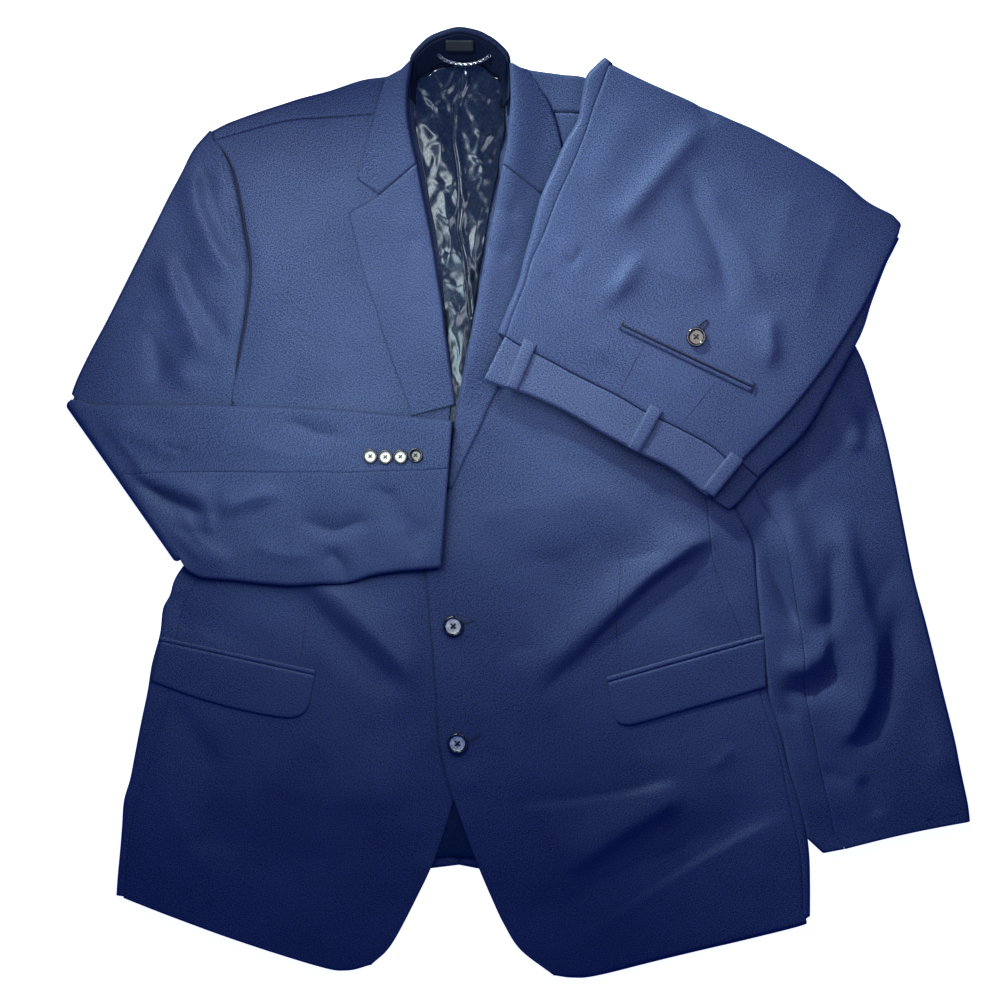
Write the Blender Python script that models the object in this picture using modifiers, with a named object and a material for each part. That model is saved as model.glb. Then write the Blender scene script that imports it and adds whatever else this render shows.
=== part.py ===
"""Two-piece suit, laid flat: a two-button jacket with its right sleeve folded over the chest,
and its trousers folded on the left shoulder. Metres, +Z up, +Y towards the collar.

The cut is written in layout millimetres: x to the right and y down from the corner of a one
metre square, so that every seam can be read off as on a cutting table. Heights are the
middle of the cloth above the surface that the suit lies on.
"""

import math

import bmesh
import bpy
import numpy as np
from mathutils import Vector

# ---- driving dimensions, mm -------------------------------------------------------------
CENTRE_X, CENTRE_Y = 518.75, 502.08   # layout point that is the origin of the part
CLOTH = 1.6                         # one wall: suiting with its fusing
SATIN = 1.0                         # lining wall
BAND_CLOTH = 2.4                    # waistband, with its stiffener
GAP = 0.3                           # between sewn or touching pieces
FLOOR = CLOTH / 2                   # wall that rests on the surface
LAID = 8.0                          # top wall of the laid jacket
UNDERLAP = 4.3                      # right front where the left front covers it
STACK = CLOTH + 0.5                 # from one laid wall to the next
LINING_UP = 2.5                     # lining inside the open neck
FOREARM_LOW = 10.1                  # wall of the folded sleeve that rests on the chest
FOREARM_TOP = 17.05                 # visible wall of the folded sleeve
CUFF_RISE = 2.3                     # step of the folded sleeve over the lapels
TROUSER_BED = 11.3                  # underside of the folded trousers on the jacket
TROUSER_HIGH, TROUSER_LOW = 31.0, 24.0   # trousers' top wall, seat and waistband
TURN_UNDER = 45.0                   # side panels run this far under the body
HANGING_LOW = 14.0                  # trousers' turned edges, over the jacket
HANGING_OUT = 1.4                   # and where they hang beside it
SLEEVE_BUTTON, FRONT_BUTTON, POCKET_BUTTON = 14.6, 20.6, 19.4   # diameters
BACK_SEAM_X = 459.0                 # centre back seam

NAVY = (0.055, 0.085, 0.22, 1.0)
NAVY_DARK = (0.04, 0.065, 0.18, 1.0)
SATIN_GREY = (0.07, 0.11, 0.15, 1.0)
HORN = (0.012, 0.013, 0.02, 1.0)
HORN_PALE = (0.35, 0.36, 0.38, 1.0)
SILVER = (0.62, 0.63, 0.66, 1.0)
LABEL_GREY = (0.10, 0.11, 0.13, 1.0)

for old in list(bpy.data.objects):
    bpy.data.objects.remove(old, do_unlink=True)
SUIT = bpy.data.collections.new("two_piece_suit")
bpy.context.scene.collection.children.link(SUIT)
TOOLS = bpy.data.collections.new("cutters")
bpy.context.scene.collection.children.link(TOOLS)


# ---- drape ------------------------------------------------------------------------------
def smooth(start, end, value):
    t = np.clip((value - start) / (end - start), 0.0, 1.0)
    return t * t * (3.0 - 2.0 * t)


def path_distance(points, path):
    """Distance to a polyline, the side of it (+1 left when walking it, in layout axes), and how
    far along it the nearest point lies (0 to 1)."""
    path = np.asarray(path, float)
    steps = np.linalg.norm(np.diff(path, axis=0), axis=1)
    total, walked = steps.sum(), 0.0
    best = np.full(len(points), 1e9)
    side = np.zeros(len(points))
    along = np.zeros(len(points))
    for a, b, step in zip(path[:-1], path[1:], steps):
        t = np.clip((points - a) @ (b - a) / step ** 2, 0.0, 1.0)
        away = points - (a + t[:, None] * (b - a))
        distance = np.hypot(away[:, 0], away[:, 1])
        turn = (b - a)[0] * (points - a)[:, 1] - (b - a)[1] * (points - a)[:, 0]
        near = distance < best
        best[near], side[near] = distance[near], np.sign(turn[near])
        along[near] = (walked + t[near] * step) / total
        walked += step
    return best, side, along


def folds(points, table):
    """Height of all folds at the points. Each row is a path, its height (below zero for a
    trough), and how wide it falls off on its upper or left side and on its lower side."""
    height = np.zeros(len(points))
    for path, rise, width_a, width_b in table:
        distance, side, along = path_distance(points, path)
        width = np.where(side < 0, width_a, width_b)
        fade = smooth(0.0, 0.22, np.minimum(along, 1.0 - along))
        height += rise * np.exp(-(distance / width) ** 2) * fade
    return height


def calm(points, zones):
    """0 where a flat zone, given as a path and its half width, keeps the cloth smooth."""
    free = np.ones(len(points))
    for path, half in zones:
        free *= smooth(half, half + 30.0, path_distance(points, path)[0])
    return free


ROLL_RIGHT = [(414, 56), (407, 89), (408, 119), (416, 163), (425, 207), (433, 251),
              (439, 294), (445, 336), (451, 378), (455, 408)]
ROLL_LEFT = [(510, 62), (511, 90), (509, 125), (504, 165), (496, 205), (488, 243),
             (479, 294), (471, 336), (464, 370), (459, 398), (455, 420), (451, 450), (448, 480)]

FOLDS_RIGHT = [
    # path, height, width above or left, width below or right
    ([(300, 590), (318, 627), (360, 669), (380, 700)], -2.6, 14, 20),
    ([(330, 590), (352, 625), (392, 668), (412, 705)], 2.4, 18, 18),
    ([(240, 150), (262, 230), (268, 330), (262, 400)], 2.2, 16, 45),
    ([(330, 160), (300, 230), (300, 330)], 2.0, 70, 70),
    ([(190, 760), (260, 800), (330, 830)], 1.6, 30, 30),
    ([(230, 870), (300, 890), (380, 870)], -1.2, 24, 24),
]
CALM_RIGHT = [([(70, 490), (470, 490)], 92), ([(165, 668), (315, 698)], 30)]
FOLDS_LEFT = [
    ([(742, 512), (700, 543), (618, 607), (572, 655), (522, 693)], 5.5, 22, 10),
    ([(730, 536), (700, 558), (640, 600), (590, 650)], -3.0, 10, 12),
    ([(612, 617), (580, 647), (550, 678)], 2.4, 12, 10),
    ([(505, 612), (484, 640), (455, 680)], -2.6, 16, 18),
    ([(600, 680), (568, 716), (536, 762)], 2.6, 18, 10),
    ([(537, 805), (585, 797), (640, 782)], 2.2, 16, 10),
    ([(700, 776), (619, 836), (545, 890)], 3.0, 22, 12),
    ([(792, 806), (695, 854), (583, 925), (548, 962)], 3.4, 24, 14),
    ([(640, 470), (560, 500), (520, 560)], 2.5, 45, 45),
]
CALM_LEFT = [([(430, 500), (440, 800)], 34), ([(607, 700), (765, 656)], 28),
             ([(480, 330), (600, 60)], 60), ([(500, 360), (735, 485)], 45),
             ([(453, 626), (480, 620)], 26), ([(457, 743), (485, 737)], 26)]
UNDER_TROUSERS = [(470, 372), (492, 300), (520, 190), (590, 40), (740, 60), (930, 190),
                  (890, 350), (760, 520), (700, 505), (560, 420)]


def inside(points, outline):
    hit = np.zeros(len(points), bool)
    ring = list(outline)
    for (ax, ay), (bx, by) in zip(ring, ring[1:] + ring[:1]):
        crosses = (ay > points[:, 1]) != (by > points[:, 1])
        at = ax + (points[:, 1] - ay) * (bx - ax) / ((by - ay) or 1e-9)
        hit ^= crosses & (points[:, 0] < at)
    return hit


def open_of_trousers(points):
    """0 under the trousers, 1 from 40 mm outside them."""
    distance = path_distance(points, UNDER_TROUSERS + UNDER_TROUSERS[:1])[0]
    return np.where(inside(points, UNDER_TROUSERS), 0.0, smooth(0.0, 40.0, distance))


def hem_drop(points):
    return 4.4 * smooth(790.0, 950.0, points[:, 1])


def level_right(points):
    x, y = points[:, 0], points[:, 1]
    lift = folds(points, FOLDS_RIGHT) * calm(points, CALM_RIGHT)
    under = smooth(405, 438, x) * smooth(455, 503, y)
    top = LAID + lift * (1 - under) - hem_drop(points)
    return np.maximum(top - (LAID - UNDERLAP) * under * (1 - smooth(845, 870, y)), 3.6 + 0.7 * (y < 866))


def level_left(points):
    lift = folds(points, FOLDS_LEFT) * calm(points, CALM_LEFT) * open_of_trousers(points)
    return np.maximum(LAID + lift - hem_drop(points), np.where(points[:, 1] > 800, 3.6, LAID - 0.3))


def leaf_right(points):
    """Lapel and collar over the right front, lifted by the roll."""
    rise = 3.5 * np.exp(-(path_distance(points, ROLL_RIGHT)[0] / 22.0) ** 2)
    return level_right(points) + STACK + rise * (1 - smooth(345, 392, points[:, 1]))


def leaf_left(points):
    rise = 3.0 * np.exp(-(path_distance(points, ROLL_LEFT[:10])[0] / 15.0) ** 2)
    return level_left(points) + STACK + rise * (1 - smooth(372, 415, points[:, 1]))


FOLDS_UPPER_ARM = [
    ([(218, 136), (238, 190), (248, 245), (247, 305), (236, 380)], -3.0, 12, 5),
    ([(196, 160), (204, 200), (228, 244), (250, 268)], 3.2, 10, 14),
    ([(166, 246), (182, 282), (206, 316)], 2.6, 10, 14),
    ([(120, 300), (150, 330), (172, 372)], 2.0, 18, 18),
    ([(200, 330), (190, 360), (178, 392)], 2.2, 14, 14),
]
FOLDS_FOREARM = [
    ([(130, 478), (166, 497), (214, 514)], 3.0, 14, 10),
    ([(96, 420), (140, 440), (190, 455)], 1.8, 14, 14),
    ([(215, 505), (250, 496), (290, 488)], 2.0, 10, 16),
    ([(300, 517), (335, 531), (380, 522)], -1.8, 12, 12),
    ([(270, 424), (310, 431), (350, 438)], 1.4, 10, 10),
    ([(140, 520), (180, 545), (230, 556)], 2.2, 14, 14),
]
FOLDS_SLEEVE_LEFT = [
    ([(740, 505), (762, 545), (786, 600), (798, 648)], -4.6, 10, 9),
    ([(780, 455), (776, 500), (800, 560), (812, 640)], 4.5, 12, 20),
    ([(834, 520), (836, 580), (828, 650)], -3.2, 12, 14),
    ([(775, 700), (800, 690), (828, 668)], -4.2, 16, 9),
    ([(778, 662), (805, 664), (822, 640)], 3.4, 14, 9),
    ([(862, 560), (878, 620), (884, 678)], 4.2, 22, 12),
    ([(884, 678), (868, 722), (838, 750)], 2.8, 16, 10),
    ([(858, 392), (868, 450), (872, 520)], 3.0, 16, 26),
    ([(866, 745), (874, 790), (886, 835)], 2.6, 16, 12),
    ([(842, 420), (850, 470), (846, 520)], -2.0, 12, 12),
    ([(925, 650), (938, 710), (948, 780)], 2.0, 18, 18),
]
FOLDS_TROUSERS = [
    ([(708, 122), (663, 172), (607, 238)], 2.6, 22, 16),
    ([(660, 255), (633, 269), (612, 300), (598, 370)], 2.4, 18, 20),
    ([(690, 168), (694, 205), (718, 255), (732, 315)], -1.8, 18, 18),
    ([(765, 312), (768, 350), (756, 385)], 2.2, 16, 16),
    ([(559, 238), (575, 266), (577, 300)], 2.0, 12, 12),
    ([(790, 190), (800, 240), (790, 300)], 2.4, 30, 30),
    ([(640, 110), (610, 150), (590, 200)], 2.0, 20, 20),
]
SHAFT = np.array([-0.49, 0.872])    # down the trousers, from the turned legs to the waist


def level_forearm(points):
    return FOREARM_TOP + CUFF_RISE * smooth(360, 405, points[:, 0]) \
        + folds(points, FOLDS_FOREARM) * smooth(9, 28, path_distance(points, ELBOW)[0])


def level_forearm_low(points):
    return FOREARM_LOW + CUFF_RISE * smooth(360, 405, points[:, 0])


def level_upper_arm(points):
    shoulder = 1.0 - smooth(150, 190, points[:, 1])
    return LAID - 0.2 + folds(points, FOLDS_UPPER_ARM) * (1 - smooth(372, 394, points[:, 1])) \
        * (1 - shoulder)


def level_sleeve_left(points):
    return LAID - 0.2 + folds(points, FOLDS_SLEEVE_LEFT) * open_of_trousers(points) \
        * (1 - smooth(790, 842, points[:, 1]))


def seat_level(points):
    return TROUSER_HIGH - (TROUSER_HIGH - TROUSER_LOW) * smooth(-60.0, 80.0, points @ SHAFT)


JACKET_LIMIT = [(560, 60), (588, 78), (640, 100), (716, 136), (768, 213), (807, 269), (847, 331),
                (863, 361)]


def hanging_edge(points):
    """Lower end of a turned edge: on the jacket, or down beside it to the surface."""
    distance, side, _ = path_distance(points, JACKET_LIMIT)
    return HANGING_LOW - (HANGING_LOW - HANGING_OUT) * smooth(13.0, 32.0, -side * distance)


def level_trousers(points):
    flat = calm(points, [([(617, 327), (750, 389)], 14), ([(508, 340), (733, 469)], 8)])
    return seat_level(points) + folds(points, FOLDS_TROUSERS) * flat


# ---- making sheets ----------------------------------------------------------------------
def world(grid):
    grid = np.asarray(grid, float)
    return np.stack([(grid[..., 0] - CENTRE_X) / 1000.0, (CENTRE_Y - grid[..., 1]) / 1000.0,
                     grid[..., 2] / 1000.0], -1)


def material(name, colour, roughness, metallic=0.0, sheen=0.0):
    made = bpy.data.materials.new(name)
    made.use_nodes = True
    shader = made.node_tree.nodes["Principled BSDF"]
    shader.inputs["Base Color"].default_value = colour
    shader.inputs["Roughness"].default_value = roughness
    shader.inputs["Metallic"].default_value = metallic
    shader.inputs["Sheen Weight"].default_value = sheen
    made.diffuse_color = colour
    return made


def place(name, mesh, colour, roughness=0.75, metallic=0.0, sheen=0.3):
    made = bpy.data.objects.new(name, mesh)
    SUIT.objects.link(made)
    mesh.materials.clear()
    mesh.materials.append(material(name, colour, roughness, metallic, sheen))
    mesh.shade_smooth()
    mesh.set_sharp_from_angle(angle=math.radians(40))
    return made


def sheet(name, grid, colour=NAVY, wall=CLOTH, roughness=0.75):
    """Cloth: an open surface through rows of points, thickened evenly to both sides."""
    points = world(grid)
    rows, columns = points.shape[:2]
    shape = bmesh.new()
    corners = [[shape.verts.new(Vector(p)) for p in row] for row in points]
    for r in range(rows - 1):
        for c in range(columns - 1):
            shape.faces.new((corners[r][c], corners[r + 1][c], corners[r + 1][c + 1], corners[r][c + 1]))
    mesh = bpy.data.meshes.new(name)
    shape.to_mesh(mesh)
    shape.free()
    made = place(name, mesh, colour, roughness)
    thick = made.modifiers.new("wall", "SOLIDIFY")
    thick.thickness = wall / 1000.0
    thick.offset = 0.0
    thick.use_even_offset = True
    return made


def resample(line, fractions):
    line = np.asarray(line, float)
    run = np.concatenate([[0.0], np.cumsum(np.linalg.norm(np.diff(line, axis=0), axis=1))])
    at = np.asarray(fractions) * run[-1]
    return np.stack([np.interp(at, run, line[:, k]) for k in range(line.shape[1])], -1)


def lay(rows, columns, level):
    """Rows of layout polylines, each split into equal columns and laid at a level."""
    flat = np.array([resample(row, np.linspace(0, 1, columns + 1)) for row in rows])
    height = level(flat.reshape(-1, 2)).reshape(flat.shape[:2]) if callable(level) \
        else np.full(flat.shape[:2], float(level))
    return np.dstack([flat, height])


def rounded(rows, cells, level, low, reach, turn, steps=4, last_under=None):
    """Cloth whose rows start at a turned edge: each row is (edge point, inner point). It runs
    from the underside, `turn` mm inside the edge, around the edge, and over the top to the
    inner point. `reach` is how far the rounding extends inwards, and `last_under` is the way
    in which the last row's underside runs where a hem turns it."""
    grid = []
    for index, row in enumerate(rows):
        row = np.asarray(row, float)
        width = np.linalg.norm(np.diff(row, axis=0), axis=1).sum()
        way = (row[1] - row[0]) / np.linalg.norm(row[1] - row[0])
        shoulder_point = row[0] + way * reach
        top = float(level(shoulder_point[None])[0]) if callable(level) else level
        base = float(low(shoulder_point[None])[0]) if callable(low) else low
        middle, radius = (top + base) / 2, (top - base) / 2
        line = []
        back = turn[index] if isinstance(turn, (list, np.ndarray)) else turn
        below = way if last_under is None or index < len(rows) - 1 else np.asarray(last_under)
        spot = row[0] + below * max(back, reach + 1.6)
        line.append((*spot, float(low(spot[None])[0]) if callable(low) else low))
        for k in range(steps + 1):
            angle = math.pi * (k / steps - 0.5)
            spot = row[0] + way * reach * (1 - math.cos(angle))
            line.append((*spot, middle + radius * math.sin(angle)))
        start = reach / width
        over = resample(row, np.linspace(start, 1, cells + 1)[1:])
        height = level(over) if callable(level) else np.full(len(over), level)
        line += [(*p, h) for p, h in zip(over, height)]
        grid.append(line)
    return np.array(grid)


def end_roll(first_row, inward, radius_flat, centre, steps=4):
    """Rows that carry a row of points around a turned end: from the underside up to the row.
    `centre` is the height of the axis, one value or one for each point."""
    first_row = np.asarray(first_row, float)
    inward = np.asarray(inward, float) / np.linalg.norm(inward)
    centre = np.broadcast_to(centre, len(first_row))
    offset = first_row[:, 2] - centre
    reach = radius_flat * offset / offset.max()
    grid = []
    for k in range(steps + 1):
        angle = math.pi * (k / steps - 0.5)
        row = first_row.copy()
        row[:, :2] += inward * (radius_flat - reach[:, None] * math.cos(angle))
        row[:, 2] = centre + offset * math.sin(angle)
        grid.append(row)
    return np.array(grid)


def shifted(row, by):
    row = np.array(row, float)
    row[:, :2] += by
    return row


# ---- jacket body ------------------------------------------------------------------------
# side seams: where the front meets the side panel, and the body's edge beside it
SIDE_RIGHT = [
    # seam x, y, edge x, y
    (252, 413, 237, 411), (241, 440, 226, 439), (229, 478, 214, 476), (218, 515, 204, 513),
    (208, 548, 196, 547), (197, 577, 176, 577), (189, 594, 170, 595), (182, 608, 163, 609),
    (176, 635, 160, 634), (172, 664, 152, 664), (169, 692, 147.5, 692), (163, 723, 141, 723),
    (152, 757, 134.5, 757), (144, 779, 130, 780), (138, 801, 124, 801), (131, 826, 122, 827),
    (127, 850, 120, 851), (125, 875, 117.5, 876), (123, 897, 116, 896)]
SIDE_LEFT = [
    (688, 413, 700.3, 411), (696, 440, 710.3, 438), (704, 478, 722.3, 475), (708, 512, 735.3, 508),
    (711, 542, 752.3, 541), (714, 563, 756.3, 568), (724, 590, 758.3, 592), (735, 616, 760.3, 613),
    (744, 640, 763.8, 646), (752, 665, 766.3, 670), (760, 692, 769.3, 694), (768, 718, 777.8, 719),
    (777, 743, 783.8, 741), (783, 770, 789.3, 767), (788, 795, 798.3, 794), (795, 828, 805.3, 825),
    (801, 857, 809.3, 855), (803, 887, 810.3, 887), (804, 921, 810.3, 917)]
ARMHOLE_RIGHT = [(213, 140.5), (223, 150), (234, 171), (241, 198), (247, 230), (252, 262),
                 (251, 290), (246, 325), (240, 358), (232, 400)]
ARMHOLE_LEFT = [(704, 140.5), (694, 151), (682, 178), (672, 208), (665, 240), (663, 270),
                (667, 302), (672, 337), (681, 372), (690, 404)]
FRONT_EDGE_RIGHT = [   # from the neck down: inside the roll, under the left front, then free
    (402, 112), (404, 128), (411, 158), (417, 188), (425, 225), (431, 262), (434, 290),
    (441, 330), (447, 368), (450, 404),
    (448, 425), (443, 450), (441, 482), (452, 516), (463, 548), (471, 577), (472, 596),
    (473, 612), (474, 640), (474, 668), (474, 700), (474, 730), (470, 762), (462, 784),
    (453, 803), (444.5, 830), (434, 860), (421, 889), (404, 925)]
FRONT_EDGE_LEFT = [
    (515, 112), (514, 128), (509, 160), (503, 190), (495, 228), (488, 264), (482, 298),
    (475, 337), (467, 376), (462, 404),
    (459, 424), (455, 450), (452, 478), (445, 500), (434, 540), (427, 568), (428.5, 596),
    (431, 626), (433.5, 652), (436, 684), (438, 722), (443, 760), (452, 793), (464, 828),
    (478, 866), (491, 897), (504, 925), (524, 953.5), (546, 972)]


def front(side_seam, armhole, edge, shoulder, hem_rows):
    outer = armhole + [(x, y) for x, y, _, _ in side_seam[:-1]]
    rows = [shoulder]
    rows += [[o, e] for o, e in zip(outer[1:], edge[1:])]
    return rows + hem_rows


RIGHT_FRONT_ROWS = front(
    SIDE_RIGHT, ARMHOLE_RIGHT, FRONT_EDGE_RIGHT,
    [(213, 140.5), (282, 121.5), (326, 117.5), (374.5, 114.5), (402, 112)],
    [[(124, 886), (230, 924), (300, 948), (392, 944)],
     [(123, 897), (133, 906), (222, 936.5), (317, 967), (347, 971.4), (371, 965.5)]])
LEFT_FRONT_ROWS = front(
    SIDE_LEFT, ARMHOLE_LEFT, FRONT_EDGE_LEFT,
    [(704, 140.5), (640, 122), (578, 114), (553, 113), (515, 112)],
    [[(804, 921), (797, 928), (670, 958.6), (598, 976.4), (573, 978.3), (557, 976)]])


def pull_in(row, amount):
    """Both ends of a row, moved inwards by half a seam gap."""
    row = [np.array(p, float) for p in row]
    row[0] = row[0] + (row[1] - row[0]) / np.linalg.norm(row[1] - row[0]) * amount
    return row


for name, rows, level in (("jacket_front_right", RIGHT_FRONT_ROWS, level_right),
                          ("jacket_front_left", LEFT_FRONT_ROWS, level_left)):
    sheet(name, lay([pull_in(r, GAP / 2) for r in rows], 10, level))

HEM_WAY = {"right": (0.99, 0.14), "left": (-0.972, 0.2)}   # the back's hem, from its side in
for side, table, level in (("right", SIDE_RIGHT, level_right), ("left", SIDE_LEFT, level_left)):
    rows = [[(ex, ey), (sx, sy)] for sx, sy, ex, ey in table]
    rows = [[np.array(a, float), np.array(b, float) + (np.array(a, float) - b)
             / np.linalg.norm(np.array(a, float) - b) * GAP / 2] for a, b in rows]
    sheet(f"jacket_side_{side}", rounded(rows, 2, level, FLOOR, 4.0, TURN_UNDER,
                                         last_under=HEM_WAY[side]))

# backs: from the shoulder seam over the shoulder, then flat down to the hem
SHOULDER_RIGHT = [(212.5, 131), (235, 120), (294, 100), (330, 90.5), (362, 80), (387, 76), (401, 70)]
SHOULDER_LEFT = [(704.5, 131), (683, 120), (624, 99), (588, 78.5), (562, 74.5), (540, 71.5), (524, 69)]
SEAM_RIGHT = [(213, 140), (282, 121), (326, 117), (374.5, 114), (402, 111.5)]
SEAM_LEFT = [(704, 140), (640, 121.5), (578, 113.5), (553, 112.5), (516, 111.5)]


def back(name, shoulder, seam, armhole, table, level, sign, hem_y):
    middle = BACK_SEAM_X - sign * GAP / 2
    cells = 6
    fractions = np.linspace(0, 1, cells + 1)
    crest = resample(shoulder, fractions)
    top = level(crest + np.array([0.0, 4.0]))
    centre = (top + FLOOR) / 2
    first = np.column_stack([crest, top])
    roll = end_roll(first, (0, 1), 3.6, centre)[::-1]          # top first, then the underside
    over = resample(seam, fractions)
    over = np.column_stack([over, level(over)])
    over[:, 1] -= 2 * GAP
    rows = [over] + list(roll)
    low = [[(armhole[k][0] + sign * 2.0, armhole[k][1]), (x, y)] for k, x, y in (
        (1, 425 if sign > 0 else 493, 78), (2, middle, 76), (4, middle, 150),
        (5, middle, 200), (6, middle, 260), (8, middle, 340))]
    low += [[(armhole[9][0] + sign * 2.0, armhole[9][1]), (middle, 399)]]
    for sx, sy, ex, ey in table:
        way = np.array([sx - ex, sy - ey], float)
        way /= np.linalg.norm(way)
        if (sx, sy) == table[-1][:2]:
            way = np.array(HEM_WAY["right" if sign > 0 else "left"])
        spot = np.array([ex, ey]) + way * (TURN_UNDER + GAP)
        low.append([tuple(spot), (middle, 866.0 if (sx, sy) == table[-1][:2] else
                                  min(spot[1], 866.0 - 0.45 * (table[-1][1] - spot[1])))])
    rows += [np.column_stack([resample(r, fractions), np.full(cells + 1, FLOOR)]) for r in low]
    sheet(name, np.array(rows), NAVY_DARK)


back("jacket_back_right", SHOULDER_RIGHT, SEAM_RIGHT, ARMHOLE_RIGHT, SIDE_RIGHT, level_right, 1, 866)
back("jacket_back_left", SHOULDER_LEFT, SEAM_LEFT, ARMHOLE_LEFT, SIDE_LEFT, level_left, -1, 866)

# lining of the back, seen in the open neck and between the fronts at the hem
LINING_FOLDS = [
    ([(425, 110), (450, 160), (470, 215)], 1.6, 9, 9),
    ([(490, 120), (470, 180), (440, 235)], 1.5, 8, 10),
    ([(430, 215), (462, 262), (476, 315)], 1.6, 9, 9),
    ([(484, 225), (462, 290), (448, 345)], 1.4, 8, 9),
]
LINING_ROWS = [[(417, 79.5), (429, 74), (438, 68), (461, 63.7), (481, 65), (490, 73), (499, 80)],
               [(415, 88), (502, 88)]] + [
    [(left, y), (right, y)] for left, right, y in (
        (414, 505, 98), (414, 505, 116), (416, 504, 134), (420, 500, 152), (423, 498, 170),
        (427, 494, 188), (430, 490, 206), (434, 487, 224), (437, 484, 242), (440, 481, 260),
        (442, 478, 280), (444, 475, 300), (446, 472, 320), (448, 470, 342), (450, 468, 366),
        (446, 470, 400), (425, 495, 450), (410, 510, 550), (405, 515, 660), (405, 520, 760),
        (410, 515, 810), (415, 508, 858))]


def level_lining(points):
    at_neck = 2.3 * (1.0 - smooth(84.0, 106.0, points[:, 1]))
    return LINING_UP + at_neck + np.maximum(folds(points, LINING_FOLDS), 0.0)


sheet("jacket_back_lining", lay(LINING_ROWS, 5, level_lining), SATIN_GREY, SATIN, 0.3)

# lapels: the facing comes from inside, around the roll line, and lies over the front
LAPEL_RIGHT = [
    # roll x, y, then the lapel's edge
    [(417, 165), (379.5, 195.5), (349, 213.5)], [(421, 187), (355, 238)], [(425, 207), (361, 263)],
    [(430, 232), (368, 287)], [(434, 256), (376, 309)], [(438, 282), (383, 334)],
    [(442, 308), (391, 358)], [(445, 334), (397, 374)], [(449, 362), (404, 392)],
    [(452.5, 388), (409, 406)], [(454.5, 405), (412, 416)]]
LAPEL_LEFT = [
    [(503, 167), (541, 195.5), (569, 213.5)], [(499, 190), (563, 238)], [(496, 208), (557, 262)],
    [(490, 236), (549, 288)], [(485, 262), (541, 311)], [(480, 290), (531, 332)],
    [(475, 316), (520, 352)], [(470, 341), (509, 371)], [(465, 366), (499, 387)],
    [(460, 394), (489, 405)], [(455.5, 420), (481, 424)], [(451.5, 446), (471, 445)],
    [(449, 470), (459.5, 470)], [(447, 487), (452, 488)]]


def leaf_grid(table, level, leaf, turn, cells=4):
    """A leaf over a front: from inside the roll line around it to the leaf's edge. `turn` is how
    far each row runs back under the front, or None where the leaf starts at the roll line."""
    grid = []
    for index, row in enumerate(table):
        row = np.asarray(row, float)
        way = (row[1] - row[0]) / np.linalg.norm(row[1] - row[0])
        edge = (row[0] + way * ROLL_REACH)[None]
        low, top = float(level(edge)[0]) - STACK, float(leaf(edge)[0])
        line = [] if turn is None else [(*(row[0] + way * turn[index]), low)]
        for k in range(5):
            angle = math.pi * (k / 4 - 0.5)
            line.append((*(row[0] + way * ROLL_REACH * (1 - math.cos(angle))),
                         (top + low) / 2 + (top - low) / 2 * math.sin(angle)))
        width = np.linalg.norm(np.diff(row, axis=0), axis=1).sum()
        over = resample(row, np.linspace(ROLL_REACH / width, 1, cells + 1)[1:])
        grid.append(line + [(*p, h) for p, h in zip(over, leaf(over))])
    return np.array(grid)


ROLL_REACH = 2.6
for name, table, level, leaf in (("lapel_right", LAPEL_RIGHT, level_right, leaf_right),
                                 ("lapel_left", LAPEL_LEFT, level_left, leaf_left)):
    turn = [12.0 - 7.0 * min(1.0, k / (len(table) - 4)) for k in range(len(table))]
    sheet(name, leaf_grid(table, level, leaf, turn))

# collar: two leaves over the fronts, the roll behind the neck, and the stand inside it
COLLAR_RIGHT = [
    [(416.4, 162.6), (378.2, 193.6), (357.3, 178.6)], [(411.5, 141), (362, 160)],
    [(408, 120), (367, 143)], [(407, 101), (372.5, 124)], [(408, 85), (377, 107)],
    [(410.5, 71), (382, 92)], [(412, 60.5), (401.5, 71), (386.5, 78.5)]]
COLLAR_LEFT = [
    [(503.8, 164.6), (541.8, 193.4), (562, 178.6)], [(508, 143), (563, 158)],
    [(509.5, 122), (558, 134)], [(511, 103), (551, 111)], [(511, 88), (544, 97)],
    [(510.5, 75), (537, 85)], [(510, 65.5), (520, 70.5), (528, 72.5)]]


sheet("collar_leaf_right", leaf_grid(COLLAR_RIGHT, level_right, leaf_right, None))
sheet("collar_leaf_left", leaf_grid(COLLAR_LEFT, level_left, leaf_left, None))

NECK = [   # top edge of the collar behind the neck, then the neck seam
    (412.5, 54, 418, 77), (421, 44, 428, 72), (431, 36, 437, 66), (448, 29.5, 450, 62.5),
    (460.5, 27.4, 461, 62), (477, 30.5, 472, 62), (487, 35, 481, 63), (497, 41.5, 490, 71),
    (508, 53, 499, 78)]
STAND_TOP, STAND_LOW, FALL_LOW = 12.0, 5.4, 3.0
neck_rows = [[np.array((a, b), float), np.array((c, d), float)] for a, b, c, d in NECK]
back_roll, stand = [], []
for (crest, seam), under in zip(neck_rows, (26, 34, 42, 49, 51, 49, 42, 34, 26)):
    way = (seam - crest) / np.linalg.norm(seam - crest)
    length = np.linalg.norm(seam - crest)
    line = [(*(crest + way * under), FALL_LOW)]
    for k in range(5):
        angle = math.pi * (k / 4 - 0.5)
        line.append((*(crest + way * 4.2 * (1 - math.cos(angle))),
                     (STAND_TOP + FALL_LOW) / 2 + (STAND_TOP - FALL_LOW) / 2 * math.sin(angle)))
    back_roll.append(line + [(*(crest + way * 6.5), STAND_TOP)])
    stand.append([(*(crest + way * (6.8 + (length - 6.8) * t)),
                   STAND_TOP + (STAND_LOW - STAND_TOP) * t ** 1.5) for t in (0, 0.25, 0.5, 0.75, 1)])
sheet("collar_roll_back", np.array(back_roll))
sheet("collar_stand", np.array(stand), NAVY_DARK)


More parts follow.
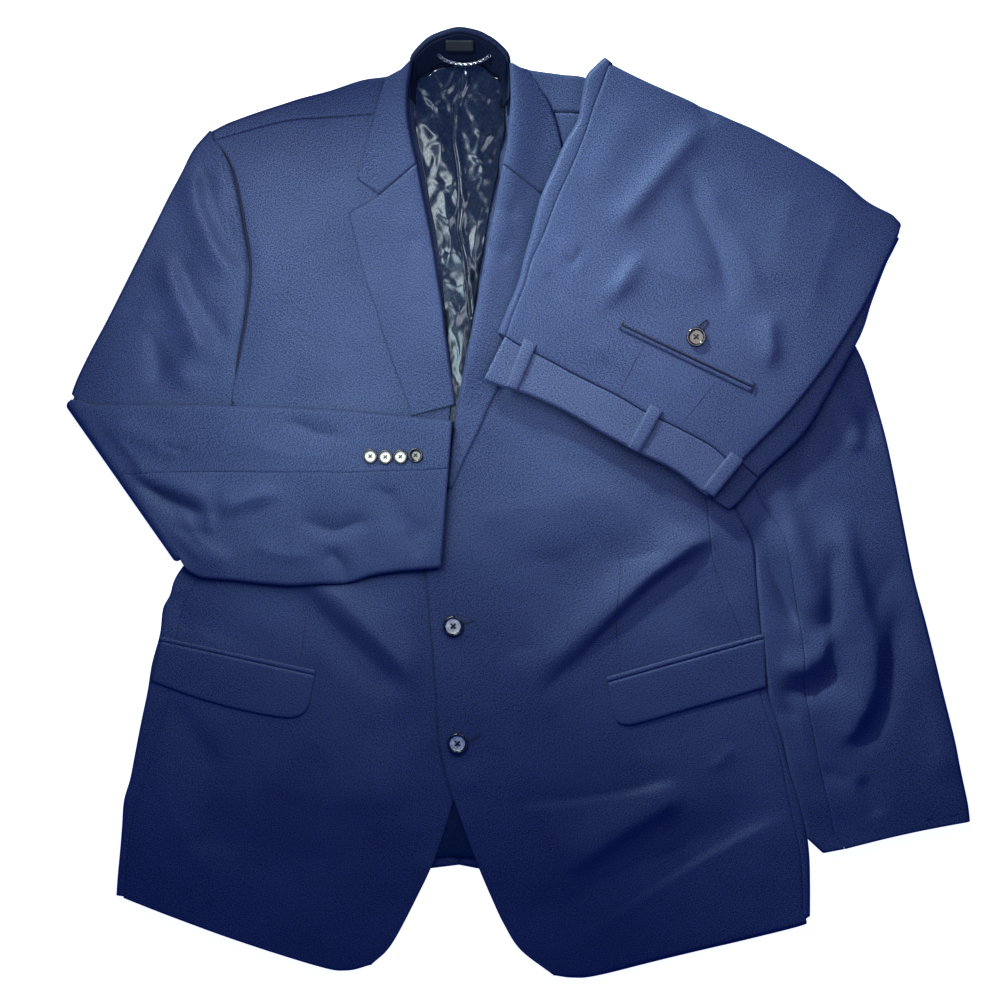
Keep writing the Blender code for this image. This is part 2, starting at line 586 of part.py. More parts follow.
def neck_height(x, y):
    """Top of the stand, or of the lining below it."""
    near = min(neck_rows, key=lambda row: abs(row[0][0] * 0.5 + row[1][0] * 0.5 - x))
    share = (y - near[0][1] - 6.8) / (near[1][1] - near[0][1] - 6.8)
    return STAND_TOP + (STAND_LOW - STAND_TOP) * min(max(share, 0.0), 1.0) ** 1.5 + CLOTH / 2


label = np.array([[(x, y, neck_height(x, y) + 1.1) for x in (446, 453, 467, 474)]
                  for y in (41.5, 46.5, 52)])
sheet("neck_label", label, LABEL_GREY, 1.0, 0.5)

# ---- right sleeve: folded back over the chest at the elbow ---------------------------------
ELBOW = [(66, 405), (176, 562)]
FOREARM = [
    # upper edge, lower edge, share of the width where the back seam runs
    (66, 405, 176, 562, 0.47), (97, 405.2, 190, 571, 0.42), (128, 405.3, 203, 577, 0.395),
    (170, 405.6, 218, 578.5, 0.385), (214, 406, 236, 580, 0.38), (246, 407, 263, 583, 0.372),
    (278, 407.6, 290, 585, 0.367), (314, 409, 319, 583.5, 0.363), (349, 411, 347, 582.5, 0.36),
    (380, 414, 370, 575.5, 0.357), (410, 417, 395, 571, 0.35), (432, 419.5, 418, 569, 0.34),
    (452.5, 421.5, 441, 567, 0.327)]
ELBOW_CENTRE = (FOREARM_TOP + FLOOR) / 2
ELBOW_REACH = 8.1
INWARD = np.array([0.819, -0.574])          # from the elbow's turned edge into the sleeve
UP_ARM = np.array([0.422, -0.906])          # from the elbow towards the shoulder
STUB = 8.0
TURN_TOP = 60.0                             # underside share of the upper sleeve


def sleeve_strip(name, from_upper, turn):
    rows = []
    for ux, uy, lx, ly, share in FOREARM:
        upper, lower = np.array((ux, uy), float), np.array((lx, ly), float)
        seam = upper + (lower - upper) * share
        away = (upper - lower) / np.linalg.norm(upper - lower) * GAP / 2
        rows.append([upper, seam + away] if from_upper else [lower, seam - away])
    width = [np.linalg.norm(np.array(r[:2], float) - r[2:4]) for r in FOREARM]
    under = [turn if from_upper else w - turn - GAP for w in width]
    rows[0] = [p + INWARD * ELBOW_REACH for p in rows[0]]
    grid = rounded(rows, 3 if from_upper else 4, level_forearm, level_forearm_low, 4.0,
                   np.array(under))
    first = grid[0].copy()
    first[:, :2] -= INWARD * ELBOW_REACH
    roll = end_roll(first, INWARD, ELBOW_REACH, ELBOW_CENTRE)[:-1]
    stub = shifted(roll[0], UP_ARM * STUB)
    return sheet(name, np.concatenate([[stub], roll, grid]))


sleeve_strip("sleeve_right_forearm_top", True, TURN_TOP)
sleeve_strip("sleeve_right_forearm_under", False, TURN_TOP)

STUB_LINE = [np.array(p, float) + INWARD * ELBOW_REACH + UP_ARM * (STUB + 0.4) for p in ELBOW]
UPPER_ARM = [   # outer edge, then the armhole and the hidden inner edge
    (204.5, 135.5, 211.5, 139), (193, 150, 221.6, 150), (180, 176, 232.7, 171.5),
    (168, 198, 239.7, 198.5), (154, 226, 245.7, 230), (138, 258, 250.6, 262),
    (123, 288, 249.6, 290), (107, 320, 244.6, 325), (91, 350, 238.6, 358),
    (80, 374, 230.6, 400), (77.5, 384, 215, 462), (*STUB_LINE[0], *STUB_LINE[1])]
arm_rows = [[(a, b), (c, d)] for a, b, c, d in UPPER_ARM]
arm_turn = [min(TURN_TOP, 0.55 * math.dist(*r)) for r in arm_rows]
arm_turn[0] = 4.0
sheet("sleeve_right_upper_arm", rounded(arm_rows, 7, level_upper_arm, FLOOR, 4.0, arm_turn))
under_rows = []
for (edge, inner), turn in list(zip(arm_rows, arm_turn))[1:]:
    edge, inner = np.array(edge, float), np.array(inner, float)
    way = (inner - edge) / np.linalg.norm(inner - edge)
    under_rows.append([edge + way * (turn + GAP), inner])
sheet("sleeve_right_under_arm", lay(under_rows, 3, FLOOR))

# ---- left sleeve: lies on the surface beside the body --------------------------------------
SLEEVE_LEFT = [
    # inner edge, outer edge, share of the width where the back seam runs
    (701.5, 145, 724, 147, 0.30), (696.5, 151, 730, 154, 0.25), (684, 178.5, 746, 180, 0.20),
    (674, 208.5, 768, 213, 0.16), (666.8, 240, 788, 241, 0.14), (665, 270, 807, 269, 0.13),
    (669, 302, 828, 300, 0.13), (674.5, 337, 847, 331, 0.13), (684, 372, 863, 361, 0.13),
    (704, 410, 873, 392, 0.14), (721, 460, 885.5, 436, 0.15), (738, 506, 895, 480, 0.17),
    (755.5, 541, 903, 522, 0.19), (761, 590, 914, 579, 0.21), (766.5, 646, 927, 628, 0.22),
    (772, 694, 941, 686, 0.20), (786, 738, 954, 738, 0.165), (795, 770, 960, 768, 0.16),
    (808, 812, 968, 806, 0.16)]
CUFF_LEFT = [(819, 846), (845, 849), (886, 836), (920, 829.5), (970, 821.5)]


def left_sleeve(name, from_inner, cells, turn_share):
    rows = []
    for ix, iy, ox, oy, share in SLEEVE_LEFT:
        inner, outer = np.array((ix + 0.5, iy), float), np.array((ox, oy), float)
        seam = inner + (outer - inner) * share
        away = (inner - outer) / np.linalg.norm(inner - outer) * GAP / 2
        rows.append([inner, seam + away] if from_inner else [outer, seam - away])
    if from_inner:
        rows.append([np.array(CUFF_LEFT[0], float), np.array((844.7, 849.0))])
    else:
        rows.append([np.array(p, float) for p in CUFF_LEFT[:0:-1]])
        rows[-1][-1] = rows[-1][-1] + np.array([0.2, 0.0])
    full = [math.dist(r[:2], r[2:4]) for r in SLEEVE_LEFT] + [153.0]
    turn = np.array([w * turn_share - 1.0 for w in full])
    turn = np.maximum(turn, 4.2)
    return sheet(name, rounded(rows, cells, level_sleeve_left, FLOOR, 4.0, turn,
                               last_under=(0.987, -0.16) if from_inner else None))


left_sleeve("sleeve_left_under", True, 2, 0.46)
left_sleeve("sleeve_left_top", False, 6, 0.54)

# ---- pockets ----------------------------------------------------------------------------
POCKETS = [
    # side, level, jet upper edge, jet lower edge, flap lower edge (outer end first)
    ("right", level_right, [(160, 636.5), (238, 653.5), (316, 670)],
     [(161, 641), (238, 658), (314.5, 675)],
     [(152, 680.5), (194, 696), (232, 707), (270, 715), (293, 717), (304, 712), (309.5, 703)]),
    ("left", level_left, [(763, 634), (685, 655), (607, 677)],
     [(764, 638.5), (686, 660), (608, 682)],
     [(766, 686.5), (730, 697), (690, 708), (650, 719.5), (629, 724.5), (617, 721), (613.5, 711)]),
]
for side, level, jet_top, jet_low, hem in POCKETS:
    def on_top(points, level=level):
        return level(points) + STACK

    sheet(f"pocket_jet_{side}", lay([jet_top, jet_low], 8, on_top), NAVY, 1.4)
    start = [(x, y + GAP) for x, y in jet_low]
    middle = resample(start, np.linspace(0, 1, 9)) * 0.5 + resample(hem, np.linspace(0, 1, 9)) * 0.5
    sheet(f"pocket_flap_{side}", lay([start, middle, hem], 8, on_top))

# ---- trousers ---------------------------------------------------------------------------
SIDE_STRIP = [
    # trousers' left edge, then the side seam
    (602.5, 63, 605.8, 69), (595, 69.5, 604, 79), (586, 80, 599.5, 92), (581.5, 101, 593, 109),
    (577, 124, 586, 131), (564, 147, 579, 150), (553, 172, 568, 176), (541, 199, 556, 202),
    (532, 233, 543, 237), (525, 258, 531, 263), (518.5, 284, 524.5, 286), (507, 312, 513, 315),
    (498, 334, 505, 338)]
SEAT_RIGHT = [(898, 226), (893, 239), (886, 254), (879, 268), (872, 284), (863, 302), (852, 321),
              (839, 342), (823, 366), (804, 391), (780, 419.5), (752, 448), (733, 468.5)]
WAIST_SEAM = [(505, 338), (518, 346.5), (537, 356), (572, 375), (587, 382.5), (617, 397.5),
              (644.5, 413.5), (677, 429.5), (710, 447.5), (733, 468.5)]
WAIST_EDGE = [(484, 380), (505, 388), (528, 395), (566, 412), (602, 433), (639, 453), (675, 471),
              (706, 496)]
TOP_EDGE = [(609.5, 65.5), (644, 82.5), (689, 102.5), (729, 121), (774, 143), (831, 176), (864, 203),
            (890, 217), (898, 226)]
TOP_REACH = 6.0


strip = [[(a, b), (c, d)] for a, b, c, d in SIDE_STRIP]
strip = [[np.array(a, float), np.array(b, float) - np.array([GAP, 0.0])] for a, b in strip]
sheet("trousers_front_left", rounded(strip, 2, level_trousers, HANGING_LOW, 4.0, 7.0))

seat_rows = [[right, (c, d)] for right, (a, b, c, d) in zip(SEAT_RIGHT[1:-1], SIDE_STRIP[1:-1])]
top_row = [np.array(p, float) for p in TOP_EDGE[::-1]]
inward_top = np.array([-0.45, 0.89])
first_flat = [p + inward_top * TOP_REACH for p in top_row]
waist_row = [np.array(p, float) - np.array([-0.15, 0.3]) for p in WAIST_SEAM[::-1]]


def low_seat(points):
    return seat_level(points) - 5.9


seat = rounded([first_flat] + seat_rows + [waist_row], 9, level_trousers, low_seat, 2.6, 12.0)
crest = seat[0].copy()
crest[:, :2] -= inward_top * TOP_REACH
roll = end_roll(crest, inward_top, TOP_REACH, (crest[:, 2].max() + hanging_edge(crest[:, :2])) / 2)[:-1]
sheet("trousers_back_left", np.concatenate([roll, seat]))

band_top = resample([(x - 0.15, y + 0.3) for x, y in WAIST_SEAM], np.linspace(0, 1, 13))
band_low = resample(WAIST_EDGE, np.linspace(0, 1, 13))


def level_band(points):
    return seat_level(points) + 0.4


def low_band(points):
    return seat_level(points) - 4.6


sheet("trousers_waistband", rounded(list(zip(band_low, band_top)), 2, level_band, low_band, 3.0, 10.0),
      NAVY, BAND_CLOTH)

UNDER_STRIP = [
    # edge of the lower half of the trousers, then its end under the seat
    (897, 240, 868, 230), (891, 252, 861, 243), (884, 266, 850, 258), (871, 300, 836, 284),
    (861, 329, 822, 310), (853, 346, 808, 330), (836, 376, 790, 352), (823, 399, 772, 372),
    (808, 425, 754, 392), (790, 446, 738, 412), (769, 465, 722, 430), (757, 477.5, 714, 441)]
UNDER_BAND = [(756.6, 478.2, 713.6, 441.6), (746, 492, 700, 458), (736, 503, 690, 470),
              (728, 509, 682, 480)]


def level_under(points):
    return seat_level(points) - 8.0


for name, table, wall in (("trousers_back_right", UNDER_STRIP, CLOTH),
                          ("trousers_waistband_right", UNDER_BAND, CLOTH)):
    rows = [[(a, b), (c, d)] for a, b, c, d in table]
    sheet(name, rounded(rows, 3, level_under, hanging_edge, 4.0, 7.0), NAVY, wall)

LEGS = [(606, 86), (650, 100), (690, 118), (730, 137), (774, 159), (826, 189), (858, 214),
        (878, 232), (868, 256), (855, 290), (844, 322), (826, 356), (806, 388), (780, 418),
        (748, 446), (722, 462), (690, 466), (650, 446), (612, 424), (580, 402), (540, 384),
        (522, 366), (530, 330), (540, 292), (548, 258), (560, 224), (574, 190), (588, 156),
        (596, 122)]
def folded_legs():
    ring = resample(LEGS + LEGS[:1], np.linspace(0, 1, 31))[:-1]
    middle = ring.mean(axis=0)
    shape = bmesh.new()
    layers = []
    for share, inset in ((0.0, 7.0), (0.12, 2.0), (0.3, 0.0), (0.45, 2.6), (0.6, 0.0),
                         (0.86, 1.6), (1.0, 6.0)):
        edge = ring + (middle - ring) / np.linalg.norm(middle - ring, axis=1)[:, None] * inset
        low, high = TROUSER_BED, seat_level(edge) - 9.4
        points = world(np.column_stack([edge, low + (high - low) * share]))
        layers.append([shape.verts.new(Vector(p)) for p in points])
    count = len(ring)
    for lower, upper in zip(layers[:-1], layers[1:]):
        for k in range(count):
            n = (k + 1) % count
            shape.faces.new((lower[k], lower[n], upper[n], upper[k]))
    for layer, top in ((layers[0], False), (layers[-1], True)):
        rings = [layer]
        for shrink in (0.55, 0.2):
            base = np.array([v.co[:] for v in layer])
            flat = base[:, :2] * shrink + base[:, :2].mean(axis=0) * (1 - shrink)
            spots = np.column_stack([flat[:, 0] * 1000 + CENTRE_X, CENTRE_Y - flat[:, 1] * 1000])
            height = seat_level(spots) - 9.4 if top else np.full(count, TROUSER_BED)
            rings.append([shape.verts.new((x, y, h / 1000)) for (x, y), h in zip(flat, height)])
        for outer, inner in zip(rings[:-1], rings[1:]):
            for k in range(count):
                n = (k + 1) % count
                quad = (outer[k], outer[n], inner[n], inner[k])
                shape.faces.new(quad if top else quad[::-1])
        shape.faces.new(rings[-1] if top else rings[-1][::-1])
    bmesh.ops.recalc_face_normals(shape, faces=shape.faces)
    mesh = bpy.data.meshes.new("trousers_folded_legs")
    shape.to_mesh(mesh)
    shape.free()
    return place("trousers_folded_legs", mesh, NAVY_DARK)


folded_legs()

BELT_LOOPS = [   # upper corners, lower corners
    ((524, 340), (536, 346), (505, 387), (517, 391)),
    ((649, 405), (661, 412), (626, 447), (638, 453)),
    ((729, 452), (741, 461), (700, 489), (712, 497))]
for number, (a, b, c, d) in enumerate(BELT_LOOPS, 1):
    upper, lower = np.array((a, b), float), np.array((c, d), float)
    grid = []
    for share, rise in ((0.0, 2.6), (0.12, 3.2), (0.5, 3.8), (0.88, 3.2), (1.0, 2.6)):
        row = upper + (lower - upper) * share
        row = resample(row, (0, 0.5, 1))
        grid.append(np.column_stack([row, seat_level(row) + rise]))
    sheet(f"belt_loop_{number}", np.array(grid), NAVY, 1.4)

for number, (a, b, c, d) in enumerate((
        ((622.5, 323.6), (751.7, 384.3), (620.8, 327.0), (750.4, 388.6)),
        ((620.6, 327.5), (750.2, 389.1), (618.0, 331.3), (747.8, 393.8))), 1):
    sheet(f"trousers_pocket_jet_{number}",
          lay([[a, b], [c, d]], 5, lambda p: level_trousers(p) + STACK - 0.1), NAVY, 1.4)


# ---- buttons and hanger -------------------------------------------------------------------
def button(name, x, y, height, diameter, thickness, colour, turns, sides):
    """Four-hole button with a raised rim, turned about its own axis."""
    radius = diameter / 2000.0
    depth = thickness / 1000.0
    profile = ((0.0, 0.62), (0.62, 0.62), (0.76, 1.0), (0.95, 0.9), (0.9, 0.0), (0.0, 0.0))
    mesh = bpy.data.meshes.new(name)
    mesh.from_pydata([(r * radius, 0.0, h * depth) for r, h in profile],
                     [(k, k + 1) for k in range(len(profile) - 1)], [])
    made = place(name, mesh, colour, 0.25, 0.0, 0.0)
    screw = made.modifiers.new("turn", "SCREW")
    screw.steps = screw.render_steps = sides
    screw.use_merge_vertices = True
    screw.merge_threshold = 0.00001
    screw.use_normal_calculate = True
    for k in range(4):
        angle = math.radians(turns + 90 * k)
        bpy.ops.mesh.primitive_cylinder_add(vertices=5, radius=radius * 0.11, depth=depth * 4)
        cutter = bpy.context.object
        cutter.name = f"{name}_hole_{k + 1}"
        cutter.location = ((x - CENTRE_X) / 1000 + radius * 0.24 * math.cos(angle),
                           (CENTRE_Y - y) / 1000 + radius * 0.24 * math.sin(angle), height / 1000)
        cutter.hide_render = True
        cutter.display_type = "WIRE"
        for owner in list(cutter.users_collection):
            owner.objects.unlink(cutter)
        TOOLS.objects.link(cutter)
        cut = made.modifiers.new(f"hole_{k + 1}", "BOOLEAN")
        cut.operation = "DIFFERENCE"
        cut.object = cutter
    made.location = ((x - CENTRE_X) / 1000, (CENTRE_Y - y) / 1000, height / 1000)
    return made


def seated(level, x, y, lift=0.0):
    near = np.array([(x + dx, y + dy) for dx in (-6, 0, 6) for dy in (-6, 0, 6)], float)
    return float(level(near).max()) + CLOTH / 2 + 0.35 + lift


for number, (x, y) in enumerate(((371.0, 456.5), (386.0, 457.2), (401.0, 457.0), (416.0, 455.6)), 1):
    button(f"sleeve_button_{number}", x, y, seated(level_forearm, x, y), SLEEVE_BUTTON, 2.6,
           HORN if number == 4 else HORN_PALE, 45, 12)
for number, (x, y) in enumerate(((453.2, 626.0), (457.4, 743.2)), 1):
    button(f"front_button_{number}", x, y, seated(level_left, x, y), FRONT_BUTTON, 3.2, HORN_PALE, 45, 16)
button("trousers_pocket_button", 693.7, 339.0, seated(level_trousers, 693.7, 339.0),
       POCKET_BUTTON, 3.0, HORN, 45, 16)

chain_route = [(438.5, 55.6), (442, 58.5), (446, 60.8), (452, 62.6), (459, 64), (466, 64.3),
               (474, 63.2), (480, 61.4), (485, 59.3), (490, 56.7)]
curve = bpy.data.curves.new("hanger_chain", "CURVE")
curve.dimensions = "3D"
curve.bevel_depth = 0.0011
curve.bevel_resolution = 2
curve.use_fill_caps = True
spline = curve.splines.new("POLY")
spline.points.add(len(chain_route) - 1)
for point, (x, y) in zip(spline.points, chain_route):
    point.co = ((x - CENTRE_X) / 1000, (CENTRE_Y - y) / 1000, (neck_height(x, y) + 2.5) / 1000, 1.0)
chain = bpy.data.objects.new("hanger_chain", curve)
SUIT.objects.link(chain)
curve.materials.append(material("hanger_chain", SILVER, 0.3, 1.0))
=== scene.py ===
"""Looks of the two-piece suit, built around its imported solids. Layout millimetres are x to the
right and y down from the corner of a one metre square, as on a cutting table; `world` turns
them into metres. Every panel is a thin shell through the same rows as its solid, with more
points, finer creases and its edges pressed down."""
import math

import bmesh
import bpy
import numpy as np
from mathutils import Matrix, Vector

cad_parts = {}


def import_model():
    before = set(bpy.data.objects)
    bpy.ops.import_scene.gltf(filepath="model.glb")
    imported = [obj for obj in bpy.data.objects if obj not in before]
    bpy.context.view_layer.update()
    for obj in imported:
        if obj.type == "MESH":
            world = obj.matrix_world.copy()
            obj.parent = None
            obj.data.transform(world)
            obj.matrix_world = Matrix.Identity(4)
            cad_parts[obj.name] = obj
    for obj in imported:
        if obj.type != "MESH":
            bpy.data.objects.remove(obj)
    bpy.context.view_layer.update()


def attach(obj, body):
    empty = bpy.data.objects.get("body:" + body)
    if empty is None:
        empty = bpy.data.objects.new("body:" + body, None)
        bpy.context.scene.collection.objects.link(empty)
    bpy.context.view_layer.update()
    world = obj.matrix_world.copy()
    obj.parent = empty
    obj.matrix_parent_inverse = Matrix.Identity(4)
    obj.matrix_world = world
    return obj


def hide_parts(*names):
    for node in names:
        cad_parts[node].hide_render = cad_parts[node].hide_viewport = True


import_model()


CENTRE_X, CENTRE_Y = 518.75, 502.08
# Heights are those of a cloth's middle above the floor, in mm.
CLOTH, WOOL = 1.6, 1.25           # the suiting's thickness, and the wall that is shown
GAP = 0.3                         # clearance between two pieces side by side
FLOOR, LAID = 0.8, 8.0            # the cloth on the floor, and the jacket's upper layer
UNDERLAP, STACK = 4.3, 2.1        # how far the under front dips, and a layer on a layer
PANEL_LOW, SLEEVE_LOW = 3.6, 2.6  # lowest that a front, or a sleeve, may dip
LINING_UP = 2.5
FOREARM_LOW, FOREARM_TOP, CUFF_RISE = 10.1, 17.05, 2.3
TROUSER_BED, TROUSER_HIGH, TROUSER_LOW = 11.3, 31.0, 24.0
SEAT_UNDER, BAND_UNDER = 5.9, 4.6     # from the seat down to the turn below its edge
HALF_UNDER, LEGS_UNDER = 8.0, 9.6     # from the seat down to the lower half, and to the legs
HANGING_LOW, HANGING_OUT = 14.0, 1.4
TURN_UNDER, TURN_REACH = 45.0, 4.0    # cloth under a side, and how far its edge rounds inwards
BACK_SEAM_X, BACK_HEM_Y = 459.0, 866.0
ROLL_REACH, SHOULDER_REACH = 2.6, 3.6    # how far a leaf's roll, and the shoulder's edge, round
SUB = 9                           # rows made between two rows of a table
TURN_STEPS, UNDER_STEPS = 9, 7    # facets round a turned edge, and steps of the cloth below it


# ---- tables ----
def numbers(text):
    return tuple(float(number) for number in text.replace(",", " ").split())


def rows_of(text, read=numbers):
    """The rows of a table, which end at a semicolon or at the end of the line."""
    return [read(row) for row in text.strip().replace("\n", ";").split(";")]


def path_of(text):
    """The points of a path, each written as x,y."""
    return [numbers(point) for point in text.split()]


def paths_of(text):
    return rows_of(text, path_of)


def mark_of(text):
    path, sizes = text.split("|")
    return (path_of(path), *numbers(sizes))


def marks_of(text):
    """Marks on the cloth: in each row a path, a bar, and the numbers that go with it."""
    return rows_of(text, mark_of)


# ---- camera, floor and light ----
def world(points):
    points = np.asarray(points, float)
    return np.stack([(points[..., 0] - CENTRE_X) / 1000.0, (CENTRE_Y - points[..., 1]) / 1000.0,
                     points[..., 2] / 1000.0], -1)


def placed(name, data):
    """A new object in the scene."""
    made = bpy.data.objects.new(name, data)
    bpy.context.scene.collection.objects.link(made)
    return made


camera = placed("camera", bpy.data.cameras.new("camera"))
camera.data.lens, camera.data.sensor_width = 72.0, 36.0
camera.location = (-0.01875, 0.00208, 2.0 + 0.008)
bpy.context.scene.camera = camera

studio = bpy.data.worlds.new("studio")
bpy.context.scene.world = studio
studio.use_nodes = True
backdrop = studio.node_tree.nodes["Background"].inputs
backdrop["Color"].default_value = (0.04, 0.21, 1.0, 1.0)
backdrop["Strength"].default_value = 0.48
bpy.context.scene.view_settings.view_transform = "Standard"
bpy.context.scene.view_settings.gamma = 0.84


def lit(name, kind, at, aim, **settings):
    """A lamp of this kind, at one point and turned to another."""
    lamp = bpy.data.lights.new(name, kind)
    for setting, value in settings.items():
        setattr(lamp, setting, value)
    made = placed(name, lamp)
    made.location = at
    made.rotation_euler = (Vector(aim) - Vector(at)).to_track_quat("-Z", "Y").to_euler()
    return made


for name, at, aim, size_x, size_y, watts, colour in (
        ("left_box", (-0.225, 0.351, 0.262), (-0.28, -0.40, 0.0), 0.22, 0.28, 1.5,
         (1.0, 0.93, 0.74)),
        ("middle_box", (-0.196, 0.103, 0.30), (-0.196, 0.083, 0.0), 0.20, 0.20, 1.0,
         (0.92, 0.98, 0.80)),
        ("right_box", (0.17, 0.20, 0.36), (0.12, 0.12, 0.0), 0.24, 0.28, 1.03,
         (1.0, 0.88, 0.72))):
    box = lit(name, "AREA", at, aim, shape="RECTANGLE", size=size_x, size_y=size_y, energy=watts,
              color=colour)
    box.visible_camera = False
lit("key", "SPOT", (-0.50, 1.10, 0.45), (0.265, 0.035, 0.0), energy=146.0,
    color=(0.95, 1.0, 0.80), shadow_soft_size=0.05, spot_size=math.radians(29.6), spot_blend=1.0)


# ---- materials ----
class Paint:
    """A node material, its nodes made and joined in short lines."""

    def __init__(self, name, **sockets):
        self.made = bpy.data.materials.new(name)
        self.made.use_nodes = True
        self.tree = self.made.node_tree
        self.shader = self.tree.nodes["Principled BSDF"]
        for socket, value in sockets.items():
            self.shader.inputs[socket.replace("_", " ")].default_value = value

    def node(self, kind, **sockets):
        made = self.tree.nodes.new("ShaderNode" + kind)
        for socket, value in sockets.items():
            if hasattr(made, socket):
                setattr(made, socket, value)
            else:
                target = made.inputs[socket.replace("_", " ")]
                if isinstance(value, bpy.types.NodeSocket):
                    self.tree.links.new(value, target)
                else:
                    target.default_value = value
        return made

    def ramp(self, value, stops):
        made = self.node("ValToRGB", Fac=value)
        line = made.color_ramp
        while len(line.elements) < len(stops):
            line.elements.new(0.5)
        for element, (at, colour) in zip(line.elements, stops):
            element.position, element.color = at, (*colour, 1.0)
        return made.outputs["Color"]

    def bump(self, height, strength, distance, over=None):
        made = self.node("Bump", Height=height, Strength=strength, Distance=distance)
        if over is not None:
            self.tree.links.new(over, made.inputs["Normal"])
        return made.outputs["Normal"]

    def set(self, socket, value):
        self.tree.links.new(value, self.shader.inputs[socket])


def suiting(name, dark, light, sheen=0.12, shine=0.35):
    """Worsted: a fine twill of dark and lighter navy yarns, with a soft nap and slight cockle."""
    p = Paint(name, Roughness=0.55, Specular_IOR_Level=shine, Specular_Tint=(0.45, 0.62, 1.0, 1.0),
              Sheen_Weight=sheen, Sheen_Roughness=0.45, Sheen_Tint=(0.42, 0.58, 1.0, 1.0))
    uv = p.node("TexCoord").outputs["UV"]
    twill = p.node("TexWave", wave_type="BANDS", bands_direction="DIAGONAL", Vector=uv,
                   Scale=420.0, Distortion=1.2, Detail=1.0, Detail_Scale=1.5)
    yarn = p.node("TexNoise", Vector=uv, Scale=1500.0, Detail=1.0, Roughness=0.5)
    along = p.node("Mapping", Vector=uv, Scale=(1.0, 0.5, 1.0)).outputs[0]
    slub = p.node("TexNoise", Vector=along, Scale=1350.0, Detail=0.0, Roughness=0.5)
    across = p.node("Mapping", Vector=uv, Scale=(0.5, 1.0, 1.0)).outputs[0]
    weft = p.node("TexNoise", Vector=across, Scale=1350.0, Detail=0.0, Roughness=0.5)
    broad = p.node("TexNoise", Vector=uv, Scale=11.0, Detail=3.0, Roughness=0.55)

    def add(value, weight, base=None):
        made = p.node("Math", operation="MULTIPLY_ADD")
        p.tree.links.new(value, made.inputs[0])
        made.inputs[1].default_value = weight
        if base is None:
            made.inputs[2].default_value = 0.0
        else:
            p.tree.links.new(base, made.inputs[2])
        return made.outputs[0]

    tone = add(twill.outputs["Color"], 0.06, add(yarn.outputs["Fac"], 0.38))
    tone = add(broad.outputs["Fac"], 0.08, tone)
    tone = add(weft.outputs["Fac"], 0.24, add(slub.outputs["Fac"], 0.24, tone))
    grain = p.ramp(tone, [(0.43, (0.0, 0.0, 0.0)), (0.57, (1.0, 1.0, 1.0))])
    p.set("Base Color", p.ramp(grain, [(0.0, dark), (1.0, light)]))
    first = p.bump(twill.outputs["Color"], 0.35, 0.00012)
    second = p.bump(grain, 0.2, 0.00012, first)
    cockle = p.node("TexNoise", Vector=uv, Scale=38.0, Detail=2.0, Roughness=0.45)
    p.set("Normal", p.bump(cockle.outputs["Fac"], 0.2, 0.0014, second))
    return p.made


def satin(name):
    """Lining satin, its sheen a cool metal under a thin coat."""
    p = Paint(name, Roughness=0.26, Specular_IOR_Level=0.8, Metallic=0.6, Coat_Weight=0.5,
              Coat_Roughness=0.2, Specular_Tint=(0.72, 0.88, 1.0, 1.0))
    uv = p.node("TexCoord").outputs["UV"]
    along = p.node("Mapping", Vector=uv, Scale=(1.0, 0.15, 1.0)).outputs[0]
    yarn = p.node("TexNoise", Vector=along, Scale=1900.0, Detail=2.0)
    p.set("Base Color", p.ramp(yarn.outputs["Fac"], [(0.3, (0.006, 0.011, 0.022)),
                                                     (0.75, (0.052, 0.072, 0.112))]))
    p.set("Normal", p.bump(yarn.outputs["Fac"], 0.18, 0.0001))
    return p.made


def horn(name, dark, light, low=0.35, high=0.7):
    p = Paint(name, Roughness=0.16, Specular_IOR_Level=0.7, Coat_Weight=0.4)
    spot = p.node("TexCoord").outputs["Object"]
    cloud = p.node("TexNoise", Vector=spot, Scale=170.0, Detail=4.0, Roughness=0.6, Distortion=1.6)
    p.set("Base Color", p.ramp(cloud.outputs["Fac"], [(low, dark), (high, light)]))
    p.set("Normal", p.bump(cloud.outputs["Fac"], 0.12, 0.0002))
    return p.made


def flecked(name, dark, light, scale, rough, metal=0.0, depth=0.0001):
    p = Paint(name, Roughness=rough, Metallic=metal)
    spot = p.node("TexCoord").outputs["Object"]
    grain = p.node("TexNoise", Vector=spot, Scale=scale, Detail=3.0, Roughness=0.65)
    p.set("Base Color", p.ramp(grain.outputs["Fac"], [(0.35, dark), (0.7, light)]))
    p.set("Normal", p.bump(grain.outputs["Fac"], 0.3, depth))
    return p.made


NAVY = suiting("suiting_navy", (0.008, 0.016, 0.052), (0.076, 0.104, 0.206))
# painted light: a lighter copy of the navy suiting, so that the waistband and belt loops show
# brighter than the lamps make them
BAND_LIT = suiting("suiting_band_painted_light", (0.012, 0.022, 0.062), (0.105, 0.138, 0.248), 0.16)
# painted shade: a darker, duller copy of the navy suiting for the collar's roll behind the neck
ROLL_SHADED = suiting("suiting_roll_painted_shade", (0.005, 0.009, 0.028), (0.026, 0.037, 0.084), 0.04, 0.2)
# painted light: a slightly lighter copy of the navy suiting, so that the trousers' seat shows
# brighter than the lamps make it
SEAT = suiting("suiting_seat_painted_light", (0.009, 0.018, 0.056), (0.083, 0.113, 0.220), 0.14)
# painted shade: a near-black copy of the navy suiting, without sheen, for cloth that lies in shade
SHADE = suiting("suiting_shade", (0.002, 0.004, 0.014), (0.008, 0.014, 0.038), 0.0, 0.12)
LINING = satin("lining_satin")
HORN_PALE = horn("horn_pale", (0.26, 0.27, 0.27), (0.72, 0.73, 0.70))
HORN_DARK = horn("horn_dark", (0.003, 0.004, 0.010), (0.05, 0.065, 0.09), 0.45, 0.8)
STEEL = flecked("hanger_metal", (0.34, 0.35, 0.37), (0.72, 0.73, 0.75), 900.0, 0.30, 1.0, 0.00003)
